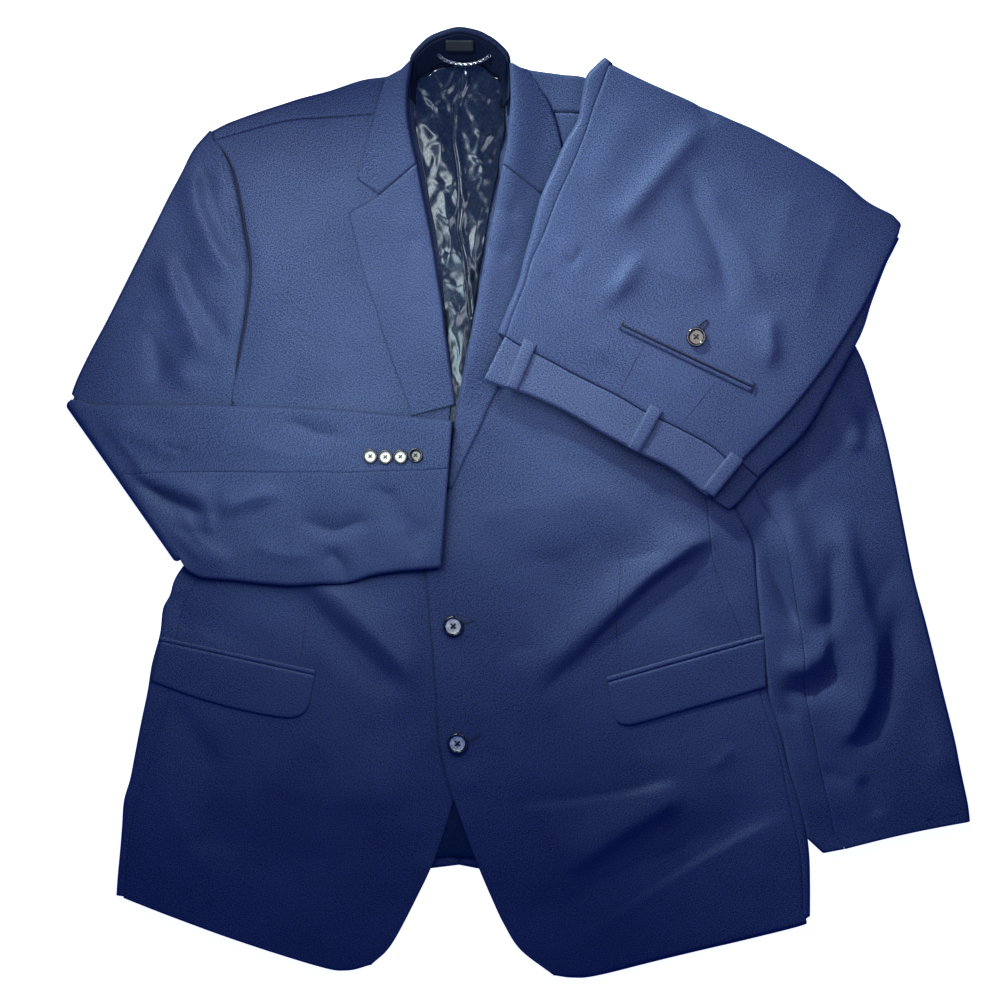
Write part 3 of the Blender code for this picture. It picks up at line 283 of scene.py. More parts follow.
# near-black navy: the colour of real thread on buttons and loops, and painted shade where it draws
# the dark lines of seams, darts and button holes
THREAD_AND_SHADE = flecked("thread_navy_and_painted_shade", (0.002, 0.004, 0.012), (0.008, 0.014, 0.04), 2600.0, 0.7)
TWIST = flecked("buttonhole_twist", (0.010, 0.018, 0.055), (0.05, 0.075, 0.16), 2600.0, 0.6)
WOVEN = flecked("label_woven", (0.003, 0.005, 0.010), (0.014, 0.020, 0.034), 1600.0, 0.6)
floor_paint = Paint("floor_paper", Roughness=0.9, Emission_Strength=0.96,
                    Emission_Color=(1.0, 1.0, 1.0, 1.0))
paper = floor_paint.node("TexNoise", Vector=floor_paint.node("TexCoord").outputs["Object"],
                         Scale=300.0, Detail=2.0)
floor_paint.set("Base Color", floor_paint.ramp(paper.outputs["Fac"], [(0.3, (0.78, 0.78, 0.79)),
                                                                      (0.7, (0.82, 0.82, 0.83))]))
ground = bpy.data.meshes.new("floor")
FLOOR_HALF, FLOOR_DOWN = 60, -0.0004     # metres
corners = ((-1, -1), (1, -1), (1, 1), (-1, 1))
ground.from_pydata([(x * FLOOR_HALF, y * FLOOR_HALF, FLOOR_DOWN) for x, y in corners], [],
                   [(0, 1, 2, 3)])
ground.materials.append(floor_paint.made)
floor = placed("floor", ground)
floor.visible_diffuse = floor.visible_glossy = False    # white paper, but no glow from below


# ---- drape ----
def unit(vectors):
    vectors = np.asarray(vectors, float)
    return vectors / np.linalg.norm(vectors, axis=-1, keepdims=True)


def walked(points, axis):
    """Length along the rows or columns of a grid, from 0 at its first point."""
    steps = np.linalg.norm(np.diff(points, axis=axis), axis=2)
    start = np.zeros((len(points), 1) if axis else (1, points.shape[1]))
    return np.concatenate([start, np.cumsum(steps, axis=axis)], axis=axis)


def smooth(start, end, value):
    """0 up to the start, 1 from the end on, and a soft step between."""
    t = np.clip((value - start) / (end - start), 0.0, 1.0)
    return t * t * (3.0 - 2.0 * t)


def path_distance(points, path):
    """Distance to a polyline, its side, and the share of the way along it."""
    path = np.asarray(path, float)
    steps = np.linalg.norm(np.diff(path, axis=0), axis=1)
    total, done = steps.sum(), 0.0
    best, side, along = (np.full(len(points), v) for v in (1e9, 0.0, 0.0))
    for a, b, step in zip(path[:-1], path[1:], steps):
        t = np.clip((points - a) @ (b - a) / step ** 2, 0.0, 1.0)
        away = points - (a + t[:, None] * (b - a))
        distance = np.hypot(away[:, 0], away[:, 1])
        turn = (b - a)[0] * (points - a)[:, 1] - (b - a)[1] * (points - a)[:, 0]
        near = distance < best
        best[near], side[near] = distance[near], np.sign(turn[near])
        along[near] = (done + t[near] * step) / total
        done += step
    return best, side, along


def folds(points, table):
    """Soft folds: round ridges or valleys along polylines, which fade to both ends."""
    height = np.zeros(len(points))
    for path, rise, width_a, width_b in table:
        distance, side, along = path_distance(points, path)
        width = np.where(side < 0, width_a, width_b)
        fade = smooth(0.0, 0.22, np.minimum(along, 1.0 - along))
        height += rise * np.exp(-(distance / width) ** 2) * fade
    return height


def creases(points, table):
    """Pressed creases: sharp lines on a smooth path, which fade to both ends."""
    height = np.zeros(len(points))
    for path, rise, width_a, width_b in table:
        distance, side, along = path_distance(points, hermite(np.array(path, float), 5))
        width = np.where(side < 0, width_a, width_b)
        fade = smooth(0.0, 0.3, np.minimum(along, 1.0 - along))
        height += rise * np.exp(-np.sqrt((distance / width) ** 2 + 0.04) + 0.2) * fade
    return height


def calm(points, zones):
    """0 near the paths of the zones, and 1 from 30 mm beyond their half widths."""
    free = np.ones(len(points))
    for path, half in zones:
        free *= smooth(half, half + 30.0, path_distance(points, path)[0])
    return free


def hashed(ix, iy, seed):
    value = np.sin(ix * 127.1 + iy * 311.7 + seed * 74.7) * 43758.5453
    return value - np.floor(value)


def cockle(points, size, seed):
    """Smooth value noise from -1 to 1, its cells about `size` mm."""
    grid = points / size
    cell = np.floor(grid)
    t = grid - cell
    t = t * t * (3 - 2 * t)
    x, y = cell[:, 0], cell[:, 1]
    low = hashed(x, y, seed) * (1 - t[:, 0]) + hashed(x + 1, y, seed) * t[:, 0]
    high = hashed(x, y + 1, seed) * (1 - t[:, 0]) + hashed(x + 1, y + 1, seed) * t[:, 0]
    return (low * (1 - t[:, 1]) + high * t[:, 1]) * 2 - 1


def wander(points, size, seed):
    """Two sizes of the noise, one turned, so that its cells don't show."""
    turned = points @ np.array([[0.8, 0.6], [-0.6, 0.8]])
    return 0.6 * cockle(points, size, seed) + 0.4 * cockle(turned, size * 0.53, seed + 9)


def hermite(p, sub=SUB):
    """Rows of a smooth curve through the rows of p, `sub` for each step."""
    slope = np.gradient(p, axis=0)
    t = (np.arange(sub) / sub).reshape((sub,) + (1,) * (p.ndim - 1))
    out = []
    for a, b, sa, sb in zip(p[:-1], p[1:], slope[:-1], slope[1:]):
        out.append((2 * t ** 3 - 3 * t ** 2 + 1) * a + (t ** 3 - 2 * t ** 2 + t) * sa
                   + (3 * t ** 2 - 2 * t ** 3) * b + (t ** 3 - t ** 2) * sb)
    return np.concatenate(out + [p[-1:]])


def resample(line, shares):
    """Points at these shares of the length of a line."""
    line = np.asarray(line, float)
    run = np.concatenate([[0.0], np.cumsum(np.linalg.norm(np.diff(line, axis=0), axis=1))])
    at = np.asarray(shares) * run[-1]
    return np.stack([np.interp(at, run, line[:, k]) for k in range(line.shape[1])], -1)


def even(line, shares):
    """The same on a smooth curve through the line's points."""
    line = np.asarray(line, float)
    return resample(hermite(line, 8) if len(line) > 2 else line, shares)


def shares(cells, width, left=True, right=True):
    """Columns over a width in mm, closer together at its pressed edges."""
    edge = np.array([0.0, 0.5, 1.1, 1.9, 3.0, 4.6]) / width
    middle = np.linspace(0, 1, cells + 1)[1:-1]
    middle = middle[(middle > 7.0 / width) & (middle < 1 - 7.0 / width)]
    return np.concatenate([edge if left else edge[:1], middle, 1 - edge[::-1] if right else [1.0]])


def lay(rows, columns, level):
    """A grid of cloth through rows of layout points, at the heights of its level."""
    flat = hermite(np.array([even(row, columns) for row in rows]))
    height = level(flat.reshape(-1, 2)).reshape(flat.shape[:2])
    return np.dstack([flat, height])


def pressed(grid, sides, depth=0.4, width=1.0):
    """The cloth dips towards the named sides of the grid: first, last, top, bottom."""
    grid = grid.copy()
    for side in sides.split():
        turned = {"first": grid, "last": grid[:, ::-1], "top": grid.transpose(1, 0, 2),
                  "bottom": grid.transpose(1, 0, 2)[:, ::-1]}[side]
        turned[..., 2] -= depth * np.exp(-(walked(turned[..., :2], 1) / width) ** 2)
    return grid


def tucked(grid, out=4.0, sink=3.4):
    """The last column carried on, down and under its neighbour, so that no floor shows."""
    way = grid[:, -1] - grid[:, -4]
    way[:, 2] = 0
    way = unit(way)
    more = [grid[:, -1] + way * out * s - [0, 0, sink * s ** 0.7] for s in (0.25, 0.6, 1.0)]
    return np.concatenate([grid, np.array(more).transpose(1, 0, 2)], axis=1)


def half_turn(start, way, reach, low, top):
    """Points round a turned edge, from the level below it to the level above it."""
    made = []
    for k in range(TURN_STEPS + 1):
        angle = math.pi * (k / TURN_STEPS - 0.5)
        height = np.asarray((top + low) / 2 + (top - low) / 2 * math.sin(angle))
        made.append(np.concatenate([start + way * reach * (1 - math.cos(angle)),
                                    height[..., None]], axis=-1))
    return made


def on_level(level, points):
    """The points with their heights, from a function or a constant."""
    height = level(points) if callable(level) else np.full(len(points), level)
    return np.column_stack([points, height])


def rounded(rows, columns, level, low, reach, turn, last_under=None):
    """Cloth round a turned edge: from the underside, around the edge, over the top. `rows` are
    (edge, inner) pairs, already dense; `columns` the shares of the top."""
    rows = np.asarray(rows, float)
    way = rows[:, 1] - rows[:, 0]
    width = np.linalg.norm(way, axis=1, keepdims=True)
    way = way / width
    spot = rows[:, 0] + way * reach
    top, base = on_level(level, spot)[:, 2], on_level(low, spot)[:, 2]
    back = np.maximum(np.broadcast_to(turn, len(rows)), reach + 1.6)[:, None]
    below = way.copy()
    if last_under is not None:
        mix = np.linspace(0, 1, SUB + 1)[:, None]
        below[-SUB - 1:] = below[-SUB - 1:] * (1 - mix) + np.asarray(last_under) * mix
    line = [on_level(low, rows[:, 0] + below * (reach + (back - reach) * k / UNDER_STEPS))
            for k in range(UNDER_STEPS, 0, -1)]
    line += half_turn(rows[:, 0], way, reach, base, top)
    start = reach / width
    for share in columns[columns > 0.002]:
        line.append(on_level(level, rows[:, 0] + (rows[:, 1] - rows[:, 0])
                             * (start + (1 - start) * share)))
    return np.array(line).transpose(1, 0, 2)


def end_roll(first_row, inward, radius_flat, centre):
    """Cloth rolled round at the end of a panel, ahead of its first row."""
    first_row = np.asarray(first_row, float)
    inward = unit(inward)
    centre = np.broadcast_to(centre, len(first_row))
    offset = first_row[:, 2] - centre
    reach = radius_flat * offset / offset.max()
    grid = []
    for k in range(TURN_STEPS + 1):
        angle = math.pi * (k / TURN_STEPS - 0.5)
        row = first_row.copy()
        row[:, :2] += inward * (radius_flat - reach[:, None] * math.cos(angle))
        row[:, 2] = centre + offset * math.sin(angle)
        grid.append(row)
    return np.array(grid)


# ---- making pieces ----
CUTS = {}


def stands_for(made, nodes):
    """Every piece rides the root; most hide the solids that they replace."""
    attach(made, "root")
    if nodes:
        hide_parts(*nodes)


def cloth(name, grid, paint, slot, nodes, wall=WOOL, rests=(), held="laid", trims=(),
          declare=True):
    """A shell through a grid of points, with a lengthwise weave, sitting for its solids."""
    points = world(grid)
    count_r, count_c = points.shape[:2]
    index = np.arange(count_r * count_c).reshape(count_r, count_c)
    quads = np.stack([index[:-1, :-1], index[1:, :-1], index[1:, 1:], index[:-1, 1:]], -1)
    mesh = bpy.data.meshes.new(name)
    mesh.from_pydata(points.reshape(-1, 3).tolist(), [], quads.reshape(-1, 4).tolist())
    across, down = walked(points, 1), walked(points, 0)
    uv = np.stack([across, down], -1).reshape(-1, 2)
    layer = mesh.uv_layers.new(name="weave")
    loops = np.empty(len(mesh.loops), int)
    mesh.loops.foreach_get("vertex_index", loops)
    layer.data.foreach_set("uv", uv[loops].ravel())
    mesh.materials.append(paint)
    mesh.shade_smooth()
    made = placed(name, mesh)
    thick = made.modifiers.new("wall", "SOLIDIFY")
    thick.thickness, thick.offset, thick.use_even_offset = wall / 1000.0, 0.0, False
    stands_for(made, nodes)
    if declare:
        a, b, c, d = (points[:-1, :-1], points[1:, :-1], points[1:, 1:], points[:-1, 1:])
        area = 0.5 * np.linalg.norm(np.cross(c - a, d - b), axis=-1).sum()
        flat = (float(across[:, -1].max()), float(down[-1].max()))
        CUTS[name] = (*(round(1000 * v) for v in flat), round(1e4 * float(area)))
    return made


def solid(name, verts, faces, paint, nodes=()):
    """A closed mesh, smooth but for its sharp edges."""
    mesh = bpy.data.meshes.new(name)
    mesh.from_pydata([tuple(map(float, v)) for v in verts], [], faces)
    mesh.materials.append(paint)
    mesh.shade_smooth()
    mesh.set_sharp_from_angle(angle=math.radians(38))
    stands_for(placed(name, mesh), nodes)


def joined(rings, sides, closed=False):
    """Faces that join each ring of points to the next, with an end on the first and last."""
    faces = []
    for k in range(rings if closed else rings - 1):
        m = (k + 1) % rings
        faces += [(k * sides + s, k * sides + (s + 1) % sides, m * sides + (s + 1) % sides,
                   m * sides + s) for s in range(sides)]
    if not closed:
        faces += [tuple(range(sides))[::-1], tuple(range((rings - 1) * sides, rings * sides))]
    return faces


def tube(path, radius, sides=6, closed=False, taper=False):
    """Vertices and faces of a round strand along a path in metres."""
    path = np.asarray(path, float)
    way = np.roll(path, -1, 0) - np.roll(path, 1, 0) if closed else np.gradient(path, axis=0)
    way /= np.linalg.norm(way, axis=1, keepdims=True) + 1e-12
    up = np.tile([0.0, 0.0, 1.0], (len(path), 1))
    up[np.abs(way[:, 2]) > 0.9] = (1.0, 0.0, 0.0)
    side = np.cross(way, up)
    side /= np.linalg.norm(side, axis=1, keepdims=True) + 1e-12
    up = np.cross(side, way)
    angle = np.arange(sides) * 2 * math.pi / sides
    size = radius * (np.sin(np.linspace(0.25, math.pi - 0.25, len(path))) ** 0.4
                     if taper else np.ones(len(path)))
    verts = (path[:, None] + size[:, None, None] * (np.cos(angle)[None, :, None] * side[:, None]
             + np.sin(angle)[None, :, None] * up[:, None])).reshape(-1, 3)
    return verts.tolist(), joined(len(path), sides, closed)


def strands(name, parts, paint, nodes=()):
    """One piece from the vertices and faces of several parts."""
    verts, faces = [], []
    for v, f in parts:
        faces += [tuple(i + len(verts) for i in face) for face in f]
        verts += v
    solid(name, verts, faces, paint, nodes)


def on(level, path, lift):
    """A layout path set `lift` mm above the middle of the cloth, in metres."""
    path = np.asarray(path, float)
    return world(np.column_stack([path, level(path) + lift]))


def seam(name, level, path, width=0.55, lift=0.55, paint=THREAD_AND_SHADE):
    """A pressed seam on a panel: a narrow dark strand, half sunk in the cloth, that paints the
    shade of its groove.
    """
    line = even(path, np.linspace(0, 1, max(12, int(len(path) * 10))))
    strands(name, [tube(on(level, line, lift), width / 1000, 5, taper=True)], paint)


# ---- the cut: tables of the panels ----
ROLL_RIGHT = path_of("""
    414,56 407,89 408,119 416,163 425,207 433,251 439,294 445,336 451,378 455,408""")
ROLL_LEFT = path_of("""
    510,62 511,90 509,125 504,165 496,205 488,243 479,294 471,336 464,370 459,398 455,420
    451,450 448,480""")
# path | height, then the width on the left and on the right hand of one who walks along it
FOLDS_RIGHT = marks_of("""
    290,575 318,615 362,658 405,700 | -3.6 10 20; 306,570 340,606 385,646 425,690 | 5 22 11
    240,150 262,230 268,330 262,400 | 2.2 45 16; 340,150 300,190 262,250 | -2.4 18 26
    330,160 300,230 300,330 | 2 70 70; 172,694 190,732 224,776 | -2 10 18
    250,770 330,800 420,790 | 2.2 30 16; 200,800 260,850 350,880 | -2 26 26
    175,590 182,610 180,635 | -1.5 10 10""")
# path | distance that stays free of folds
CALM_RIGHT = marks_of("70,486 470,486 | 82; 165,662 305,694 | 20")
FOLDS_LEFT = marks_of("""
    744,508 700,540 650,574 618,606 575,652 522,696 | 7.5 8 26
    716,552 684,578 645,596 610,626 572,660 530,694 | -4.2 18 9
    496,622 474,650 446,700 | -4.6 16 9; 592,684 568,724 541,766 | -2.4 5 12
    512,804 560,798 613,790 687,777 | -3 16 4; 690,788 625,828 556,876 | 5.5 11 26
    792,806 740,832 687,863 613,910 580,930 558,960 | -4.4 4 30
    640,470 560,500 520,560 | 3 45 45; 500,712 470,760 466,800 | 2 18 22""")
CALM_LEFT = marks_of("""
    430,500 440,800 | 0; 607,700 765,656 | 28; 480,330 600,60 | 60; 500,360 735,485 | 45
    453,626 480,620 | 10; 457,743 485,737 | 10""")
UNDER_TROUSERS = path_of("""
    470,372 492,300 520,190 590,40 740,60 930,190 890,350 760,520 700,505 560,420""")
FOLDS_UPPER_ARM = marks_of("""
    216,136 235,190 245,245 244,305 230,400 | -2 3 8
    200,160 208,205 228,246 252,272 | -2.6 12 6; 190,160 196,205 214,250 240,286 | 3.6 7 14
    174,250 192,298 232,356 | -2.4 12 6; 162,250 180,302 214,366 | 3.4 7 14
    150,318 160,346 158,384 | -2 16 14; 200,330 190,360 178,392 | 2.2 14 14""")
FOLDS_FOREARM = marks_of("""
    127,480 166,497 212,518 | -3 6 14; 124,470 170,484 216,502 | 2.6 14 8
    110,420 140,436 190,455 | 1.8 14 10; 215,512 250,502 286,490 | 2.4 12 8
    296,514 335,533 380,518 | -1.7 14 8; 270,418 310,430 356,438 | -1.2 12 8
    326,548 344,570 348,590 | -1.2 9 9; 150,520 190,552 240,566 | 2.4 10 14
    380,490 400,520 436,540 | -1.6 12 12""")
FOLDS_SLEEVE_LEFT = marks_of("""
    745,512 762,548 788,604 802,636 | -5 8 10; 770,470 790,525 808,580 822,630 | 5.5 14 13
    776,668 800,668 820,655 828,628 | 5 15 7; 774,690 804,692 826,682 838,660 | -4 7 12
    832,540 833,590 829,640 | -3.5 9 8
    838,500 852,580 872,640 872,690 852,728 826,748 | 7 11 22
    896,600 892,660 876,716 850,750 | -3.4 14 8; 776,706 788,712 800,716 | -1.8 6 6
    860,776 870,797 880,818 | -2.4 8 8; 828,385 848,414 858,455 | 3.8 9 10
    842,366 864,408 872,450 | -2.6 8 8; 820,408 802,458 793,512 | -3.2 9 9
    925,640 938,710 948,790 | 2.4 16 14""")
FOLDS_TROUSERS = marks_of("""
    708,122 663,172 607,238 | 2.6 12 16; 660,255 633,269 612,300 598,370 | 2.6 14 10
    690,168 694,205 718,255 732,315 | -2 9 12; 704,176 716,214 744,256 760,304 | 1.8 11 8
    765,312 768,350 756,385 | 2.2 9 13; 559,238 575,266 577,300 | 1.8 8 10
    790,190 800,240 790,300 | 1.6 22 26; 640,110 610,150 590,200 | 1.6 16 18""")
SHAFT = np.array([-0.49, 0.872])
JACKET_LIMIT = path_of("560,60 588,78 640,100 716,136 768,213 807,269 847,331 863,361")
ELBOW = path_of("66,405 176,562")

# finer creases, shown only here, written as the folds are
FINE_RIGHT = marks_of("""
    303,600 304,632 301,664 | -0.5 3 3; 372,590 400,640 430,720 | 0.9 14 12
    395,720 380,790 395,860 | 0.8 16 20; 214,720 206,790 220,860 | -0.8 12 14
    150,760 190,850 240,900 | 0.7 14 14; 300,150 352,220 372,300 | -0.7 20 20
    262,300 300,350 360,380 | 0.8 14 18; 334,236 344,240 352,236 | -0.6 5 5
    340,346 352,352 362,346 | -0.5 5 5; 312,572 352,612 398,660 416,690 | 1 7 5
    190,620 230,640 262,646 | -0.7 9 9; 300,720 330,760 340,810 | 0.7 14 10
    170,840 240,850 300,880 | -0.7 12 14""")
FINE_LEFT = marks_of("""
    493,632 515,642 537,653 | -0.8 4 3; 736,512 700,543 650,577 618,610 572,658 | 1.4 6 9
    730,520 689,552 650,594 622,624 583,656 | -1.4 4 4
    722,556 684,586 652,610 628,640 | 1.3 5 8; 524,908 552,918 583,923 | -0.8 5 8
    705,770 722,760 734,742 | 0.9 9 7; 560,480 600,520 620,560 | 0.9 22 22
    616,560 640,556 668,545 | -0.9 9 9; 500,650 540,690 548,730 | 0.9 14 14
    640,740 660,790 700,830 | 0.8 20 16; 486,628 468,652 444,690 | -1.2 9 4
    512,808 560,800 613,792 687,780 | -1 8 3
    792,806 740,832 687,863 613,910 566,950 | 1.1 4 9; 600,720 572,752 548,776 | -0.9 5 8
    470,520 520,508 580,512 | 0.7 16 12; 500,570 560,560 610,530 | -0.7 14 14
    700,600 722,590 740,572 | -0.9 7 6; 520,840 560,880 600,900 | 0.7 18 14""")
FINE_UPPER_ARM = marks_of("""
    198,165 201,184 215,219 230,249 247,263 | 1.3 4 6; 228,232 238,238 246,236 | -1.2 5 5
    168,251 180,274 196,307 226,346 | 1.2 4 6; 130,300 160,340 196,396 | 0.9 12 12
    150,330 158,366 152,398 | -1.2 10 8; 224,180 232,230 240,262 | -1 6 5
    122,312 134,306 144,312 | -0.6 6 6""")
FINE_FOREARM = marks_of("""
    158,444 170,447 190,453 | -0.9 5 5; 283,422 300,426 318,434 342,437 | -1.1 6 4
    127,483 150,491 167,500 190,509 210,518 | -1.4 4 7; 211,512 212,523 209,534 | 0.9 4 5
    150,512 180,530 214,533 | -0.8 6 8; 222,510 236,503 256,497 275,490 | 1.3 8 5
    303,517 318,527 336,531 352,525 372,518 | -1.5 7 4
    322,548 338,558 346,572 349,584 | -1.2 5 7; 404,530 414,544 420,560 | -0.9 6 6
    368,486 386,494 400,492 | -0.9 6 5; 180,500 200,540 236,560 | 0.9 8 8
    98,420 130,452 150,478 | 0.8 10 8; 240,440 290,455 340,458 | 0.5 9 9
    250,545 290,556 318,552 | 0.9 9 7""")
FINE_SLEEVE_LEFT = marks_of("""
    760,545 776,576 791,610 800,634 | -1.6 4 6; 783,672 805,671 820,660 825,640 | 1.6 5 4
    866,700 858,726 838,742 | 1.2 5 7; 817,773 836,776 857,781 | -1 7 4
    857,555 862,590 860,620 | 0.9 9 9; 900,560 880,590 872,620 | -1 9 7
    905,560 915,640 925,700 | 0.8 14 14; 800,700 806,750 818,790 | 0.8 8 8""")
FINE_TROUSERS = marks_of("""
    708,124 690,140 663,172 635,206 604,240 | 0.9 10 7
    654,262 633,269 616,297 604,335 597,368 | 0.9 8 8
    692,168 692,200 715,252 731,318 | -0.8 7 9; 706,180 724,222 752,262 762,300 | -0.7 8 8
    765,316 767,356 758,382 | 0.9 7 7; 557,240 566,252 572,266 580,254 588,248 | -0.9 4 4
    562,254 574,272 578,298 | -0.9 4 4; 545,272 556,290 564,304 | -0.7 5 5
    690,105 706,122 716,128 | -0.9 5 4; 640,268 672,278 712,286 | 0.7 9 9
    800,180 780,230 770,290 | 0.8 18 18; 840,200 820,260 800,330 | 0.8 14 14""")
DENTS_RIGHT = marks_of("402,238 420,242 440,254 | -2.2 6 7; 398,300 424,306 446,316 | -0.9 8 8")
DENTS_LEFT = marks_of("""
    490,205 503,213 522,215 | -2 6 5; 484,246 496,252 512,260 | -2.2 5 6
    474,300 490,310 506,322 | -0.9 8 8""")


def inside(points, outline):
    """Whether each point lies in the closed outline."""
    hit = np.zeros(len(points), bool)
    ring = list(outline)
    for (ax, ay), (bx, by) in zip(ring, ring[1:] + ring[:1]):
        crosses = (ay > points[:, 1]) != (by > points[:, 1])
        at = ax + (points[:, 1] - ay) * (bx - ax) / ((by - ay) or 1e-9)
        hit ^= crosses & (points[:, 0] < at)
    return hit


def open_of_trousers(points):
    """0 under the trousers, and 1 from 40 mm outside their edge."""
    distance = path_distance(points, UNDER_TROUSERS + UNDER_TROUSERS[:1])[0]
    return np.where(inside(points, UNDER_TROUSERS), 0.0, smooth(0.0, 40.0, distance))


def hem_drop(points):
    """The jacket gets flatter towards its hem."""
    return 4.4 * smooth(790.0, 950.0, points[:, 1])


# folds, creases, strength of each, then the waver: its strength, size in mm and seed
RELIEF = {
    "right": (FOLDS_RIGHT, FINE_RIGHT, 1.0, 1.9, 0.9, 52, 3),
    "left": (FOLDS_LEFT, FINE_LEFT, 1.0, 1.9, 0.9, 52, 5),
    "forearm": (FOLDS_FOREARM, FINE_FOREARM, 1.3, 2.2, 0.45, 34, 7),
    "upper_arm": (FOLDS_UPPER_ARM, FINE_UPPER_ARM, 1.7, 2.0, 0.4, 34, 11),
    "sleeve_left": (FOLDS_SLEEVE_LEFT, FINE_SLEEVE_LEFT, 1.0, 1.4, 0.45, 38, 13),
    "trousers": (FOLDS_TROUSERS, FINE_TROUSERS, 1.3, 2.4, 0.4, 40, 17)}


def relief(points, part):
    """How far the cloth of a part rises in its folds, creases and slight waver."""
    folded, creased, fold_by, crease_by, waver_by, size, seed = RELIEF[part]
    return fold_by * folds(points, folded) + crease_by * creases(points, creased) \
        + waver_by * wander(points, size, seed)


def level_right(points):
    """The right front, which dips under the left front's edge."""
    x, y = points[:, 0], points[:, 1]
    lift = relief(points, "right") * calm(points, CALM_RIGHT)
    under = smooth(405, 438, x) * smooth(455, 503, y)
    top = LAID + lift * (1 - under) - hem_drop(points)
    return np.maximum(top - (LAID - UNDERLAP) * under * (1 - smooth(845, 870, y)),
                      PANEL_LOW + 0.7 * (1 - smooth(846, 880, y)))


def level_left(points):
    lift = relief(points, "left") * calm(points, CALM_LEFT) * open_of_trousers(points)
    low = LAID - 0.3 - (LAID - 0.3 - PANEL_LOW) * smooth(780, 830, points[:, 1])
    return np.maximum(LAID + lift - hem_drop(points), low)


def leaf_level(points, level, roll, rise, fall, width, dents, flat_from, flat_at):
    """A lapel or collar leaf: high at its roll, less so further down, then flat on the front."""
    y = points[:, 1]
    swell = (rise - fall * smooth(150, 330, y)) \
        * np.exp(-(path_distance(points, roll)[0] / width) ** 2) + creases(points, dents)
    return level(points) + STACK + swell * (1 - smooth(flat_from, flat_at, y))


def leaf_right(points):
    return leaf_level(points, level_right, ROLL_RIGHT, 6.5, 3.0, 27.0, DENTS_RIGHT, 345, 400)


def leaf_left(points):
    return leaf_level(points, level_left, ROLL_LEFT[:10], 14.5, 6.5, 33.0, DENTS_LEFT, 350, 415)


def level_forearm_low(points):
    return FOREARM_LOW + CUFF_RISE * smooth(360, 405, points[:, 0])


def level_forearm(points):
    return FOREARM_TOP + CUFF_RISE * smooth(360, 405, points[:, 0]) \
        + relief(points, "forearm") * smooth(9, 28, path_distance(points, ELBOW)[0])


def level_upper_arm(points):
    free = (1 - 0.8 * smooth(376, 396, points[:, 1])) * smooth(146, 180, points[:, 1])
    return np.maximum(LAID - 0.2 + relief(points, "upper_arm") * free, SLEEVE_LOW)


def level_sleeve_left(points):
    lift = relief(points, "sleeve_left") + 2.4 * smooth(500, 560, points[:, 1])
    free = (0.35 + 0.65 * open_of_trousers(points)) * (1 - smooth(790, 846, points[:, 1]))
    return np.maximum(LAID - 0.2 + lift * free, SLEEVE_LOW)


def seat_level(points):
    """The seat without its folds: high at the turned legs, low at the waistband."""
    return TROUSER_HIGH - (TROUSER_HIGH - TROUSER_LOW) * smooth(-60.0, 80.0, points @ SHAFT)


def hanging_edge(points):
    """The turned edge's underside: on the jacket, and lower where it hangs past it."""
    distance, side, _ = path_distance(points, JACKET_LIMIT)
    return HANGING_LOW - (HANGING_LOW - HANGING_OUT) * smooth(13.0, 32.0, -side * distance)


# the pocket and the waistband stay flat
CALM_TROUSERS = marks_of("617,327 750,389 | 14; 508,340 733,469 | 8")


def level_trousers(points):
    return seat_level(points) + relief(points, "trousers") * calm(points, CALM_TROUSERS)


# ---- jacket body ----
# the side panel's seam, then its edge
SIDE_RIGHT = rows_of("""
    252,413 237,411; 241,440 226,439; 229,478 214,476; 218,515 204,513; 208,548 196,547
    197,577 176,577; 189,594 170,595; 182,608 163,609; 176,635 160,634; 172,664 152,664
    169,692 147.5,692; 163,723 141,723; 152,757 134.5,757; 144,779 130,780; 138,801 124,801
    131,826 122,827; 127,850 120,851; 125,875 117.5,876; 123,897 116,896""")
SIDE_LEFT = rows_of("""
    688,413 700.3,411; 696,440 710.3,438; 704,478 722.3,475; 708,512 735.3,508
    711,542 752.3,541; 714,563 756.3,568; 724,590 758.3,592; 735,616 760.3,613
    744,640 763.8,646; 752,665 766.3,670; 760,692 769.3,694; 768,718 777.8,719
    777,743 783.8,741; 783,770 789.3,767; 788,795 798.3,794; 795,828 805.3,825
    801,857 809.3,855; 803,887 810.3,887; 804,921 810.3,917""")
ARMHOLE_RIGHT = path_of("""
    213,140.5 223,150 234,171 241,198 247,230 252,262 251,290 246,325 240,358 232,400""")
ARMHOLE_LEFT = path_of("""
    704,140.5 694,151 682,178 672,208 665,240 663,270 667,302 672,337 681,372 690,404""")
FRONT_EDGE_RIGHT = path_of("""
    402,112 404,128 411,158 417,188 425,225 431,262 434,290 441,330 447,368 450,404 448,425
    443,450 441,482 452,516 463,548 471,577 472,596 473,612 474,640 474,668 474,700 474,730
    470,762 462,784 453,803 444.5,830 434,860 421,889 404,925""")
FRONT_EDGE_LEFT = path_of("""
    515,112 514,128 509,160 503,190 495,228 488,264 482,298 475,337 467,376 462,404 459,424
    455,450 452,478 445,500 434,540 427,568 428.5,596 431,626 433.5,652 436,684 438,722 443,760
    452,793 464,828 478,866 491,897 504,925 521,951 541,969""")


def front(side_seam, armhole, edge, shoulder, hem_rows):
    """Rows of a front, each from its outer seam to its front edge, shoulder to hem."""
    outer = armhole + [(x, y) for x, y, _, _ in side_seam[:-1]]
    rows = [shoulder] + [[o, e] for o, e in zip(outer[1:], edge[1:])] + hem_rows
    made = []
    for row in rows:
        row = [np.array(p, float) for p in row]
        row[0] = row[0] + unit(row[1] - row[0]) * GAP / 2
        made.append(row)
    return made


